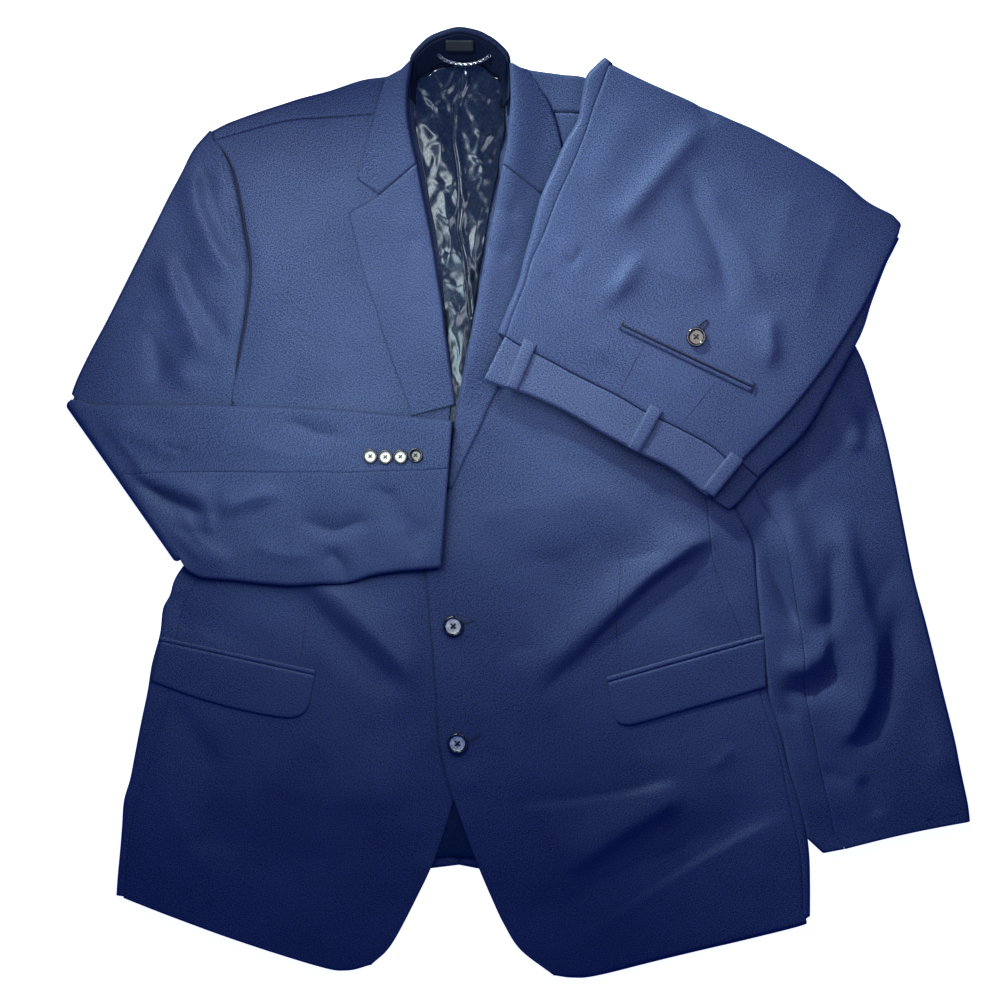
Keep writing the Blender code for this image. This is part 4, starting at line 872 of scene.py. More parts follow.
RIGHT_ROWS = front(
    SIDE_RIGHT, ARMHOLE_RIGHT, FRONT_EDGE_RIGHT,
    [(213, 140.5), (282, 121.5), (326, 117.5), (374.5, 114.5), (402, 112)],
    [[(124, 886), (230, 924), (300, 948), (392, 944)],
     [(123, 897.5), (133, 902.5), (222, 936.5), (317, 967), (347, 971.4), (371, 965.5)]])
LEFT_ROWS = front(
    SIDE_LEFT, ARMHOLE_LEFT, FRONT_EDGE_LEFT,
    [(704, 140.5), (640, 122), (578, 114), (553, 113), (515, 112)],
    [[(804, 921), (797, 928), (670, 958.6), (598, 976.4), (573, 978.6), (554, 976.2)]])
PANEL = shares(110, 300)
for side, rows, level in (("right", RIGHT_ROWS, level_right), ("left", LEFT_ROWS, level_left)):
    grid = pressed(lay(rows, PANEL, level), "first last top bottom")
    cloth(f"wool_front_{side}", grid, NAVY, "suiting", [f"jacket_front_{side}"],
          rests=[f"jacket_back_{side}"])

# the way in which the turned cloth runs at the hem
HEM_WAY = {"right": (0.99, 0.14), "left": (-0.972, 0.2)}
for side, table, level in (("right", SIDE_RIGHT, level_right), ("left", SIDE_LEFT, level_left)):
    first = [(243, 406, 228.5, 403)] if side == "right" else []
    table = np.array(first + table, float)
    pairs = hermite(np.stack([table[:, 2:], table[:, :2]], 1))
    pairs[:, 1] += unit(pairs[:, 0] - pairs[:, 1]) * GAP / 2
    grid = rounded(pairs, shares(8, 20, left=False)[1:], level, FLOOR, TURN_REACH, TURN_UNDER,
                   last_under=HEM_WAY[side])
    cloth(f"wool_side_{side}", pressed(grid, "last"), NAVY, "suiting", [f"jacket_side_{side}"],
          rests=[f"jacket_back_{side}"])

SHOULDER_RIGHT = path_of("212.5,131 235,120 294,100 330,90.5 362,80 387,76 401,70")
SHOULDER_LEFT = path_of("704.5,131 683,120 624,99 588,78.5 562,74.5 540,71.5 524,69")
SEAM_RIGHT = path_of("213,140 282,121 326,117 374.5,114 402,111.5")
SEAM_LEFT = path_of("704,140 640,121.5 578,113.5 553,112.5 516,111.5")


def back(side, shoulder, seam_line, armhole, table, level, sign):
    """A back panel: from the shoulder seam over the shoulder's edge and down on the floor."""
    middle = BACK_SEAM_X - sign * GAP / 2
    columns = np.linspace(0, 1, 61)
    crest = even(shoulder, columns)
    top = level(crest + np.array([0.0, 4.0]))
    roll = end_roll(np.column_stack([crest, top]), (0, 1), SHOULDER_REACH,
                    (top + FLOOR) / 2)[::-1]
    start = even(seam_line, columns) + np.array([0.0, 0.1])
    over = np.array([start + (roll[0][:, :2] - start) * s for s in np.linspace(0, 1, 9)[:-1]])
    over = np.dstack([over, [level(row) for row in over]])
    over[..., 2] += (roll[0][:, 2] - level(roll[0][:, :2])) * np.linspace(0, 1, 9)[:-1, None]
    low = [[(armhole[k][0] + sign * 2.0, armhole[k][1]), (x, y)] for k, x, y in (
        (1, 425 if sign > 0 else 493, 78), (2, middle, 76), (4, middle, 150),
        (5, middle, 200), (6, middle, 260), (8, middle, 340))]
    low += [[(armhole[9][0] + sign * 2.0, armhole[9][1]), (middle, 399)]]
    for sx, sy, ex, ey in table:
        last = (sx, sy) == table[-1][:2]
        way = np.array(HEM_WAY[side]) if last else unit([sx - ex, sy - ey])
        spot = np.array([ex, ey]) + way * (TURN_UNDER + GAP)
        inner = BACK_HEM_Y if last else \
            min(spot[1], BACK_HEM_Y - 0.45 * (table[-1][1] - spot[1]))
        low.append([tuple(spot), (middle, inner)])
    low = hermite(np.array([resample(r, columns) for r in low]), 4)
    under = np.dstack([low, np.full(low.shape[:2], FLOOR)])
    grid = pressed(np.concatenate([over, roll, under]), "top", 0.3, 0.9)
    cloth(f"wool_back_{side}", grid, NAVY, "suiting_shade", [f"jacket_back_{side}"])


back("right", SHOULDER_RIGHT, SEAM_RIGHT, ARMHOLE_RIGHT, SIDE_RIGHT, level_right, 1)
back("left", SHOULDER_LEFT, SEAM_LEFT, ARMHOLE_LEFT, SIDE_LEFT, level_left, -1)

# ---- lining ----
LINING_ROWS = [[(417, 79.5), (429, 74), (438, 68), (461, 63.7), (481, 65), (490, 73), (499, 80)],
               [(415, 88), (502, 88)]] + [
    [(left, y), (right, y)] for left, right, y in (
        (414, 505, 98), (414, 505, 116), (416, 504, 134), (420, 500, 152), (423, 498, 170),
        (427, 494, 188), (430, 490, 206), (434, 487, 224), (437, 484, 242), (440, 481, 260),
        (442, 478, 280), (444, 475, 300), (446, 472, 320), (448, 470, 342), (450, 468, 366),
        (446, 470, 400), (425, 495, 450), (410, 510, 550), (405, 515, 660), (405, 520, 760),
        (410, 515, 810), (415, 508, 858))]
LINING_FOLDS = marks_of("""
    425,110 450,160 470,215 | 1.6 9 9; 490,120 470,180 440,235 | 1.5 8 10
    430,215 462,262 476,315 | 1.6 9 9; 484,225 462,290 448,345 | 1.4 8 9""")
PLEAT = path_of("465,62 467,79 458,104 456,138 460.5,167 463,199 460.5,230 468,262 473,315")
# small wrinkles of the satin, written as the folds are
CRUMPLES = marks_of("""
    420,92 436,104 452,98 | 1.1 3 5; 474,84 488,100 500,96 | 1.2 4 3
    418,120 434,132 452,128 | 1.2 4 3; 470,118 486,134 500,130 | 1.3 3 4
    424,150 440,142 455,156 | 1 3 4; 466,150 482,160 496,154 | 1.2 4 3
    430,112 440,146 436,180 | 1.3 4 3; 484,112 478,150 486,190 | 1.2 3 4
    428,176 446,186 458,178 | 1.2 3 3; 464,186 478,176 492,184 | 1.2 3 4
    434,204 446,216 460,212 | 1.2 4 3; 466,208 476,220 486,214 | 1 3 3
    440,196 450,236 446,272 | 1.2 4 3; 482,196 474,236 470,270 | 1.2 3 4
    440,244 452,252 462,246 | 1.1 3 3; 444,276 456,286 466,280 | 1.1 3 3
    468,246 474,262 478,280 | 1 3 3; 448,300 458,312 468,306 | 1.1 3 3
    450,322 456,340 460,368 | 1 3 3; 464,318 462,346 460,380 | 1 3 3
    425,868 440,850 470,846 | 0.8 4 4; 430,800 450,830 480,850 | 0.9 5 5""")


def level_lining(points):
    """Crumpled satin, with a pleat down the middle, flat where the jacket hides it."""
    at_neck = 2.3 * (1.0 - smooth(84.0, 106.0, points[:, 1]))
    bent = points + np.stack([3.5 * wander(points, 21, 21), 3.5 * wander(points, 21, 22)], -1)
    one = bent @ np.array([[0.91, 0.42], [-0.42, 0.91]])
    two = bent @ np.array([[0.86, -0.50], [0.50, 0.86]])
    small = 1.25 * cockle(one * [1.0, 0.13], 8.0, 23) + 0.9 * cockle(two * [1.0, 0.16], 6.5, 25) \
        + 0.22 * cockle(bent, 5.5, 31)
    pleat = path_distance(points, PLEAT)
    beside = pleat[0] * pleat[1] - 3.4
    fold = 1.4 * np.exp(-(pleat[0] / 3.0) ** 2) - 1.4 * np.exp(-(beside / 1.5) ** 2)
    rise = folds(points, LINING_FOLDS) + creases(bent, CRUMPLES) + small + fold
    shown = 1 - smooth(385, 410, points[:, 1]) * (1 - smooth(770, 800, points[:, 1]))
    return LINING_UP + at_neck + np.maximum(rise, -0.9) * shown * smooth(64, 76, points[:, 1])


lining_grid = lay(LINING_ROWS, np.linspace(0, 1, 96), level_lining)
cloth("satin_back_lining", lining_grid, LINING, "lining_satin", ["jacket_back_lining"], wall=0.7,
      rests=["jacket_back_right", "jacket_back_left"])

# ---- lapels and collar ----
# the roll, then the lapel's edge
LAPEL_RIGHT = paths_of("""
    417,165 379.5,195.5 349,213.5; 421,187 355,238; 425,207 361,263; 430,232 368,287
    434,256 376,309; 438,282 383,334; 442,308 391,358; 445,334 397,374; 449,362 404,392
    452.5,388 409,406; 454.5,405 412,416""")
LAPEL_LEFT = paths_of("""
    503,167 541,195.5 569,213.5; 499,190 563,238; 496,208 557,262; 490,236 549,288
    485,262 541,311; 480,290 531,332; 475,316 520,352; 470,341 509,371; 465,366 499,387
    460,394 489,405; 455.5,420 481,424; 451.5,446 471,445; 449,470 459.5,470; 447,487 452,488""")
# the roll, then the collar's edge
COLLAR_RIGHT = paths_of("""
    416.8,164.4 379,194.9 357.3,178.9; 411.5,141 362,160; 408,120 367,143; 407,101 372.5,124
    408,85 377,107; 410.5,71 382,92; 412,60.5 401.5,71 386.5,78.5""")
COLLAR_LEFT = paths_of("""
    503.2,166.4 541.2,194.9 562,179; 508,143 563,158; 509.5,122 558,134; 511,103 551,111
    511,88 544,97; 510.5,75 537,85; 510,65.5 520,70.5 528,72.5""")


def leaf_grid(table, level, leaf, turn, cells=34):
    """A leaf from under its roll, round it, and over the front to its edge."""
    rows = hermite(np.array([resample(row, np.linspace(0, 1, 81)) for row in table]))
    if turn is not None:
        turn = hermite(np.array(turn, float)[:, None])[:, 0]
    grid = []
    for index, row in enumerate(rows):
        width = np.linalg.norm(np.diff(row, axis=0), axis=1).sum()
        way = unit(row[1] - row[0])
        edge = (row[0] + way * ROLL_REACH)[None]
        low, top = float(level(edge)[0]) - STACK, float(leaf(edge)[0])
        line = []
        if turn is not None:
            line = [(*(row[0] + way * (ROLL_REACH + (turn[index] - ROLL_REACH) * s)), low)
                    for s in (1.0, 0.66, 0.33)]
        line += half_turn(row[0], way, ROLL_REACH, low, top)
        start = ROLL_REACH / width
        over = resample(row, start + (1 - start) * shares(cells, 50, left=False)[1:])
        grid.append(line + [(*p, 0.0) for p in over])
    grid = np.array(grid)
    top = grid[:, -len(over):]
    top[..., 2] = leaf(top[..., :2].reshape(-1, 2)).reshape(top.shape[:2])
    return grid


LEAVES = {"right": (level_right, leaf_right), "left": (level_left, leaf_left)}
for part, node, side, table in (
        ("lapel", "lapel", "right", LAPEL_RIGHT), ("lapel", "lapel", "left", LAPEL_LEFT),
        ("collar", "collar_leaf", "right", COLLAR_RIGHT),
        ("collar", "collar_leaf", "left", COLLAR_LEFT)):
    turn = [12.0 - 7.0 * min(1.0, k / (len(table) - 4)) for k in range(len(table))] \
        if part == "lapel" else None
    grid = pressed(leaf_grid(table, *LEAVES[side], turn), "last", 0.6, 1.2)
    cloth(f"wool_{part}_{side}", pressed(grid, "top", 0.4, 0.8), NAVY, "suiting",
          [f"{node}_{side}"], rests=[f"jacket_front_{side}"], held="folded")

# top edge of the collar behind the neck, then the neck seam
NECK = rows_of("""
    412.5,54 418,77; 421,44 428,72; 431,36 437,66; 448,29.5 450,62.5; 460.5,27.4 461,62
    477,30.5 472,62; 487,35 481,63; 497,41.5 490,71; 508,53 499,78""")
STAND_TOP, STAND_LOW, FALL_LOW = 12.0, 5.4, 3.0
NECK_SIDES = ([(406.8, 92, 415.5, 104), (408.0, 73, 415.5, 91), (409.8, 62, 416.5, 83)],
              [(510.2, 64, 501, 84), (511.2, 77, 502, 93), (510.6, 96, 503.5, 108)])
neck = hermite(np.array(NECK_SIDES[0] + NECK + NECK_SIDES[1], float), 7)
RUN_UNDER = [6, 8, 14, 26, 34, 42, 49, 51, 49, 42, 34, 26, 14, 8, 6.0]
under_run = hermite(np.array(RUN_UNDER)[:, None], 7)[:, 0]
at_side = np.minimum(np.arange(len(neck)), np.arange(len(neck))[::-1]) / 7.0
sunk = smooth(3.0, 0.6, at_side)     # 0 behind the neck, 1 where the leaves cover the roll
EDGE_IN, STAND_IN = 4.2, 6.8         # the roll's reach, and where the stand begins
back_roll, stand = [], []
for (cx, cy, sx, sy), run, sink in zip(neck, under_run, sunk):
    crest, foot = np.array([cx, cy]), np.array([sx, sy])
    top_here, low_here = STAND_TOP - 5.5 * sink, FALL_LOW + 0.4 * sink
    first_in = STAND_IN - 5.6 * sink
    length = np.linalg.norm(foot - crest)
    way = (foot - crest) / length
    line = [(*(crest + way * (EDGE_IN + (max(run, 7) - EDGE_IN) * s)), low_here)
            for s in (1.0, 0.75, 0.5, 0.25)]
    line += half_turn(crest, way, EDGE_IN, low_here, top_here)
    back_roll.append(line + [(*(crest + way * 6.5), top_here)])
    stand.append([(*(crest + way * (first_in + (length - first_in) * t)),
                   top_here + (STAND_LOW - top_here) * t ** 1.5) for t in np.linspace(0, 1, 15)])
# the roll behind the neck wears the darker copy of the suiting: painted shade
cloth("wool_collar_roll", np.array(back_roll), ROLL_SHADED, "suiting", ["collar_roll_back"],
      rests=["jacket_back_right", "jacket_back_left"], held="folded")
# the stand inside the neck is near black: painted shade
cloth("wool_collar_stand", pressed(np.array(stand), "first last", 0.4, 1.2), SHADE,
      "suiting_shade", ["collar_stand"], rests=["collar_roll_back"], held="folded")


def neck_height(x, y):
    """Height of the stand's face at a point."""
    near = min(neck, key=lambda row: abs((row[0] + row[2]) * 0.5 - x))
    share = (y - near[1] - STAND_IN) / (near[3] - near[1] - STAND_IN)
    return STAND_TOP + (STAND_LOW - STAND_TOP) * min(max(share, 0.0), 1.0) ** 1.5 + CLOTH / 2


# ---- sleeves ----
# upper edge, lower edge, share of the width where the back seam runs
FOREARM = rows_of("""
    66,405 176,562 0.47; 97,405.2 190,571 0.42; 128,405.3 203,577 0.395
    170,405.6 218,578.5 0.385; 214,406 236,580 0.38; 246,407 263,583 0.372
    278,407.6 290,585 0.367; 314,409 319,583.5 0.363; 349,411 347,582.5 0.36
    380,414 370,575.5 0.357; 410,417 395,571 0.35; 432,419.5 418,569 0.34
    452.5,421.5 441,567 0.327""")
ELBOW_CENTRE, ELBOW_REACH = (FOREARM_TOP + FLOOR) / 2, 8.1
INWARD, UP_ARM = np.array([0.819, -0.574]), np.array([0.422, -0.906])   # from the elbow's edge
STUB, TURN_TOP = 8.0, 60.0        # the layer that runs on up the arm, and the cloth turned under


def sleeve_side(table, first, shift=0.0):
    """Pairs of edge and back seam for one side of a sleeve, and the sleeve's width."""
    table = hermite(np.array(table, float))
    one, two, share = table[:, :2] - [shift, 0.0], table[:, 2:4], table[:, 4:]
    line = one + (two - one) * share
    width = np.linalg.norm(two - one, axis=1, keepdims=True)
    away = (one - two) / width * GAP / 2
    return np.stack([one, line + away] if first else [two, line - away], 1), width[:, 0]


def sleeve_strip(name, node, from_upper, cells):
    """One side of the folded forearm, from its turned edge to the back seam."""
    pairs, width = sleeve_side(FOREARM, from_upper)
    under = np.full(len(pairs), TURN_TOP) if from_upper else width - TURN_TOP - GAP
    lean = smooth(1, 0, np.arange(len(pairs)) / SUB)[:, None, None]
    pairs = pairs + lean * INWARD * ELBOW_REACH
    grid = rounded(pairs, shares(cells, 80, left=False)[1:], level_forearm, level_forearm_low,
                   TURN_REACH, under)
    first = grid[0].copy()
    first[:, :2] -= INWARD * ELBOW_REACH
    roll = end_roll(first, INWARD, ELBOW_REACH, ELBOW_CENTRE)[:-1]
    stub = np.array([roll[0] + np.array([*(UP_ARM * STUB * s), 0.0]) for s in (1.0, 0.66, 0.33)])
    grid = pressed(np.concatenate([stub, roll, grid]), "last bottom")
    cloth(name, grid, NAVY, "suiting", [node], rests=["jacket_front_right"], held="folded")


sleeve_strip("wool_forearm_top", "sleeve_right_forearm_top", True, 26)
sleeve_strip("wool_forearm_under", "sleeve_right_forearm_under", False, 40)

STUB_LINE = [np.array(p, float) + INWARD * ELBOW_REACH + UP_ARM * (STUB + 0.4) for p in ELBOW]
UPPER_ARM = [
    (209.5, 130.6, 216.0, 133.0), (193, 150, 221.6, 150), (180, 176, 232.7, 171.5),
    (168, 198, 239.7, 198.5), (154, 226, 245.7, 230), (138, 258, 250.6, 262),
    (123, 288, 249.6, 290), (107, 320, 244.6, 325), (91, 350, 238.6, 358),
    (79.2, 374, 230.6, 400), (75.0, 384, 215, 462), (71.6, 393.4, *STUB_LINE[1])]
arm_turn = [min(TURN_TOP, 0.55 * math.dist(r[:2], r[2:])) for r in UPPER_ARM]
arm_turn[0] = 4.0
arm_pairs = hermite(np.array(UPPER_ARM, float).reshape(-1, 2, 2))
arm_turn = hermite(np.array(arm_turn)[:, None])[:, 0]
grid = rounded(arm_pairs, shares(44, 130, left=False)[1:], level_upper_arm, FLOOR, TURN_REACH,
               arm_turn)
cloth("wool_upper_arm", tucked(pressed(grid, "last")), NAVY, "suiting", ["sleeve_right_upper_arm"])
way = unit(arm_pairs[:, 1] - arm_pairs[:, 0])
start = arm_pairs[:, 0] + way * (arm_turn[:, None] + GAP)
under = np.array([start + (arm_pairs[:, 1] - start) * s for s in np.linspace(0, 1, 12)])[:, SUB:]
under = under.transpose(1, 0, 2)
# the cloth under the arm is near black: painted shade
cloth("wool_under_arm", np.dstack([under, np.full(under.shape[:2], FLOOR)]), SHADE, "suiting",
      ["sleeve_right_under_arm"])

# inner edge, outer edge, share of the width where the back seam runs
SLEEVE_LEFT = rows_of("""
    701.5,145 724,147 0.3; 696.5,151 730,154 0.25; 684,178.5 746,180 0.2
    674,208.5 768,213 0.16; 666.8,240 788,241 0.14; 665,270 807,269 0.13; 669,302 828,300 0.13
    674.5,337 847,331 0.13; 684,372 863,361 0.13; 703,410 873,392 0.14; 719,460 885.5,436 0.15
    734.3,506 895,480 0.17; 752,541 903,522 0.21; 758,590 914,579 0.23; 763.4,646 927,628 0.24
    769.2,694 941,686 0.215; 782.6,738 954,738 0.185; 790.2,770 960,768 0.18
    802.2,812 967,800 0.17; 807.6,838 969,812 0.17""")
CUFF_WIDTH = 153.0
CUFF_LEFT = path_of("823.5,853 845,849 886,836 920,829.5 970,821.5")


def left_sleeve(name, node, from_inner, cells, turn_share):
    """One side of the left sleeve, from its turned edge to the back seam."""
    pairs, full = sleeve_side(SLEEVE_LEFT, from_inner, 0.3)
    last = [CUFF_LEFT[0], (844.7, 849.0)] if from_inner else [CUFF_LEFT[4], (845.2, 849.0)]
    steps = np.linspace(0, 1, SUB + 1)[1:, None, None]
    pairs = np.concatenate([pairs, pairs[-1] + (np.array(last, float) - pairs[-1]) * steps])
    full = np.concatenate([full, np.full(SUB, CUFF_WIDTH)])
    turn = np.maximum(full * turn_share - 1.0, 4.2)
    grid = rounded(pairs, shares(cells, 25 if from_inner else 125, left=False)[1:],
                   level_sleeve_left, FLOOR, TURN_REACH, turn,
                   last_under=(0.968, -0.25) if from_inner else None)
    if not from_inner:      # the cuff runs in a soft curve, not straight
        place = np.clip((grid[-SUB:, :, 0] - 845.0) / 125.0, 0.0, 1.0)
        grid[-SUB:, :, 1] -= 1.6 * np.sin(place * math.pi) * np.linspace(0, 1, SUB)[:, None]
    cloth(name, pressed(grid, "last bottom"), NAVY, "suiting", [node])


left_sleeve("wool_sleeve_left_under", "sleeve_left_under", True, 10, 0.46)
left_sleeve("wool_sleeve_left_top", "sleeve_left_top", False, 48, 0.54)

# ---- pockets ----
POCKETS = [
    # side, level, jet upper edge, jet lower edge, flap lower edge (outer end first)
    ("right", level_right, [(160, 636.5), (238, 653.5), (316, 670)],
     [(161, 641), (238, 658), (314.5, 675)],
     [(152, 680.5), (194, 696), (232, 707), (270, 715), (293, 717), (304, 712), (309.5, 703)]),
    ("left", level_left, [(763, 634), (685, 655), (607, 677)],
     [(764, 638.5), (686, 660), (608, 682)],
     [(766, 686.5), (730, 697), (690, 708), (650, 719.5), (629, 724.5), (617, 721), (613.5, 711)])]


def band(first, last, rows, columns, level):
    """A strip between two lines."""
    a, b = even(first, columns), even(last, columns)
    flat = np.array([a + (b - a) * s for s in rows])
    return np.dstack([flat, [level(row) for row in flat]])


for side, level, jet_top, jet_low, hem in POCKETS:
    def on_top(points, level=level):
        return level(points) + STACK

    columns = shares(60, 155)
    jet = band(jet_top, jet_low, np.linspace(0, 1, 7), columns, on_top)
    jet = cloth(f"wool_jet_{side}", pressed(jet, "top bottom", 0.7, 1.0), NAVY, "suiting",
                [f"pocket_jet_{side}"], wall=1.0, declare=False)
    flap = band([(x, y + GAP) for x, y in jet_low], hem, shares(16, 40), columns, on_top)
    flap = pressed(pressed(flap, "top", 1.0, 1.2), "bottom first last", 0.5, 1.2)
    cloth(f"wool_flap_{side}", flap, NAVY, "suiting", [f"pocket_flap_{side}"],
          rests=[f"jacket_front_{side}"], trims=[jet])

# ---- trousers ----
# the trousers' left edge, then the side seam
SIDE_STRIP = rows_of("""
    603.2,62 609.4,66.5; 595,69.5 604,79; 586,80 599.5,92; 581.5,101 593,109; 577,124 586,131
    564,147 579,150; 553,172 568,176; 541,199 556,202; 532,233 543,237; 525,258 531,263
    518.5,284 524.5,286; 507,312 513,315; 498,334 505,338""")
SEAT_RIGHT = path_of("""
    898,226 893,239 886,254 879,268 872,284 863,302 852,321 839,342 823,366 804,391 780,419.5
    752,448 733,468.5""")
WAIST_SEAM = path_of("""
    505,338 518,346.5 537,356 572,375 587,382.5 617,397.5 644.5,413.5 677,429.5 710,447.5
    733,468.5""")
WAIST_EDGE = path_of("484,380 505,388 528,395 566,412 602,433 639,453 675,471 706,496")
TOP_EDGE = path_of("609.5,65.5 644,82.5 689,102.5 729,121 774,143 831,176 864,203 890,217 898,226")
TOP_REACH, SEAT_REACH = 6.0, 2.6      # how far the top edge, and the seat's edge, round inwards
ON_LEGS = {"rests": ["trousers_folded_legs"], "held": "folded"}
strip = hermite(np.array(SIDE_STRIP, float).reshape(-1, 2, 2))
strip[:, 1, 0] -= GAP
grid = rounded(strip, shares(6, 12, left=False)[1:], level_trousers, HANGING_LOW, TURN_REACH, 7.0)
cloth("wool_trousers_front", tucked(pressed(grid, "last"), 3.0, 2.2), NAVY, "suiting",
      ["trousers_front_left"], **ON_LEGS)


def low_seat(points):
    return seat_level(points) - SEAT_UNDER


side_table = np.array(SIDE_STRIP, float)
seat_pairs = np.stack([np.array(SEAT_RIGHT[1:-1], float), side_table[1:-1, 2:]], 1)
inward_top = np.array([-0.45, 0.89])
top_line = np.array(TOP_EDGE[::-1], float) + inward_top * TOP_REACH
waist_line = np.array(WAIST_SEAM[::-1], float) - np.array([-0.15, 0.3])
across = np.linspace(0, 1, 201)
rows = hermite(np.array([even(top_line, across), *(resample(p, across) for p in seat_pairs),
                         even(waist_line, across)]))
edge, way = rows[:, 0], unit(rows[:, 1] - rows[:, 0])
spot = edge + way * SEAT_REACH
lines = [on_level(low_seat, edge + way * (SEAT_REACH + (12.0 - SEAT_REACH) * s))
         for s in (1.0, 0.66, 0.33)]
lines += half_turn(edge, way, SEAT_REACH, low_seat(spot), level_trousers(spot))
start = SEAT_REACH / np.linalg.norm(np.diff(rows, axis=1), axis=2).sum(axis=1)
for share in shares(100, 300, left=False)[1:]:
    at = np.array([resample(row, [s + (1 - s) * share])[0] for row, s in zip(rows, start)])
    lines.append(on_level(level_trousers, at))
seat = np.array(lines).transpose(1, 0, 2)
crest = seat[0].copy()
crest[:, :2] -= inward_top * TOP_REACH
roll = end_roll(crest, inward_top, TOP_REACH,
                (crest[:, 2].max() + hanging_edge(crest[:, :2])) / 2)[:-1]
seat = pressed(np.concatenate([roll, seat]), "last bottom", 0.8, 1.8)
# the seat wears the lighter copy of the suiting: painted light
cloth("wool_trousers_seat", seat, SEAT, "suiting", ["trousers_back_left"], **ON_LEGS)


def level_band(points):
    return seat_level(points) + 0.4 + 0.25 * wander(points, 30, 27)


def low_band(points):
    return seat_level(points) - BAND_UNDER


count = np.linspace(0, 1, 90)
waist_line = [(x - 0.15, y + 0.3) for x, y in WAIST_SEAM]
pairs = np.stack([even(WAIST_EDGE, count), even(waist_line, count)], 1)
grid = rounded(pairs, shares(16, 38, left=False)[1:], level_band, low_band, 3.0, 10.0)
loops = []
# upper end, left and right, then lower end
BELT_LOOPS = paths_of("""
    524,340 536,346 505,387 517,391; 649,405 661,412 626,447 638,453
    729,452 741,461 700,489 712,497""")
# shares of a loop's length, then its height over the waistband along them
LOOP_AT = np.array([0.0, 0.02, 0.05, 0.09, 0.14, 0.3, 0.5, 0.7, 0.86, 0.91, 0.95, 0.98, 1.0])
LOOP_RISE = np.interp(LOOP_AT, [0, 0.03, 0.12, 0.5, 0.88, 0.97, 1],
                      [2.1, 2.7, 3.4, 3.9, 3.4, 2.7, 2.1])
# the belt loops wear the lighter copy of the suiting: painted light
for number, (a, b, c, d) in enumerate(BELT_LOOPS, 1):
    upper = resample([a, b], shares(6, 13))
    lower = resample([c, d], shares(6, 13))
    rows = np.array([upper + (lower - upper) * s for s in LOOP_AT])
    rows = np.dstack([rows, [seat_level(row) + rise for row, rise in zip(rows, LOOP_RISE)]])
    loops.append(cloth(f"wool_belt_loop_{number}", pressed(rows, "first last", 0.7, 1.6), BAND_LIT,
                       "suiting", [f"belt_loop_{number}"], wall=1.1, declare=False))
# the waistband wears the lighter copy of the suiting: painted light
cloth("wool_waistband", pressed(grid, "last first"), BAND_LIT, "suiting", ["trousers_waistband"],
      wall=1.8, trims=loops, **ON_LEGS)
# edge of the lower half of the trousers, then its end under the seat
UNDER_STRIP = rows_of("""
    897,240 868,230; 891,252 861,243; 884,266 850,258; 871,300 836,284; 861,329 822,310
    853,346 808,330; 836,376 790,352; 823,399 772,372; 808,425 754,392; 790,446 738,412
    769,465 722,430; 757,477.5 714,441""")
UNDER_BAND = rows_of("756.6,478.2 713.6,441.6; 746,492 700,458; 736,503 690,470; 728,509 682,480")


def level_under(points):
    return seat_level(points) - HALF_UNDER + 0.3 * wander(points, 26, 29)


for name, node, table in (("wool_trousers_under", "trousers_back_right", UNDER_STRIP),
                          ("wool_waistband_under", "trousers_waistband_right", UNDER_BAND)):
    pairs = hermite(np.array(table, float).reshape(-1, 2, 2))
    grid = rounded(pairs, np.linspace(0, 1, 14)[1:], level_under, hanging_edge, TURN_REACH, 7.0)
    cloth(name, pressed(grid, "top bottom"), NAVY, "suiting", [node], **ON_LEGS)

LEGS = path_of("""
    606,86 650,100 690,118 730,137 774,159 826,189 858,214 878,232 868,256 855,290 844,322
    826,356 806,388 780,418 748,446 722,462 690,466 650,446 612,424 580,402 540,384 522,366
    530,330 540,292 548,258 560,224 574,190 588,156 596,122""")


def folded_legs():
    """Four layers of the folded legs, closed below the seat."""
    ring = resample(LEGS + LEGS[:1], np.linspace(0, 1, 161))[:-1]
    middle = ring.mean(axis=0)
    inward = unit(middle - ring)
    layers = []
    for share in np.linspace(0, 1, 29):
        inset = 5.0 * abs(2 * share - 1) ** 6 + 2.4 * abs(math.cos(4 * math.pi * share)) ** 3
        edge = ring + inward * inset
        low, high = TROUSER_BED + 0.2, seat_level(edge) - LEGS_UNDER
        layers.append(np.column_stack([edge, low + (high - low) * share]))
    for shrink in (0.7, 0.35, 0.05):
        flat = ring * shrink + middle * (1 - shrink)
        layers.append(np.column_stack([flat, seat_level(flat) - LEGS_UNDER]))
    base = [np.column_stack([ring * s + middle * (1 - s), np.full(len(ring), TROUSER_BED + 0.2)])
            for s in (0.05, 0.5, 0.9)]
    layers = base + layers
    verts = world(np.array(layers)).reshape(-1, 3)
    faces = [face[::-1] for face in joined(len(layers), len(ring))]
    # the folded legs under the seat are near black: painted shade
    solid("wool_folded_legs", verts, faces, SHADE, ["trousers_folded_legs"])


folded_legs()


def on_seat(points):
    return level_trousers(points) + STACK - 0.1


for number, (a, b, c, d) in enumerate((
        ((622.5, 323.6), (751.7, 384.3), (620.8, 327.0), (750.4, 388.6)),
        ((620.6, 327.5), (750.2, 389.1), (618.0, 331.3), (747.8, 393.8))), 1):
    grid = band([a, b], [c, d], np.linspace(0, 1, 7), shares(60, 142), on_seat)
    cloth(f"wool_seat_jet_{number}", pressed(grid, "top bottom first last", 0.9, 1.2), NAVY,
          "suiting", [f"trousers_pocket_jet_{number}"], wall=1.0, declare=False)

# ---- buttons, label and hanger ----
# radius and height, as shares of the button's
BUTTON_PROFILE = rows_of("0 0.55; 0.40 0.55; 0.68 0.56; 0.73 0.62; 0.77 0.86; 0.83 1.0; 0.91 0.99;"
                         "0.97 0.86; 1.0 0.6; 0.97 0.3; 0.88 0.06; 0.75 0.0; 0.0 0.0")
RIM_RINGS = range(3, 10)
HOLE_OUT, HOLE_WIDE, HOLE_UP, THREAD_WIDE = 0.25, 0.10, 0.565, 0.045


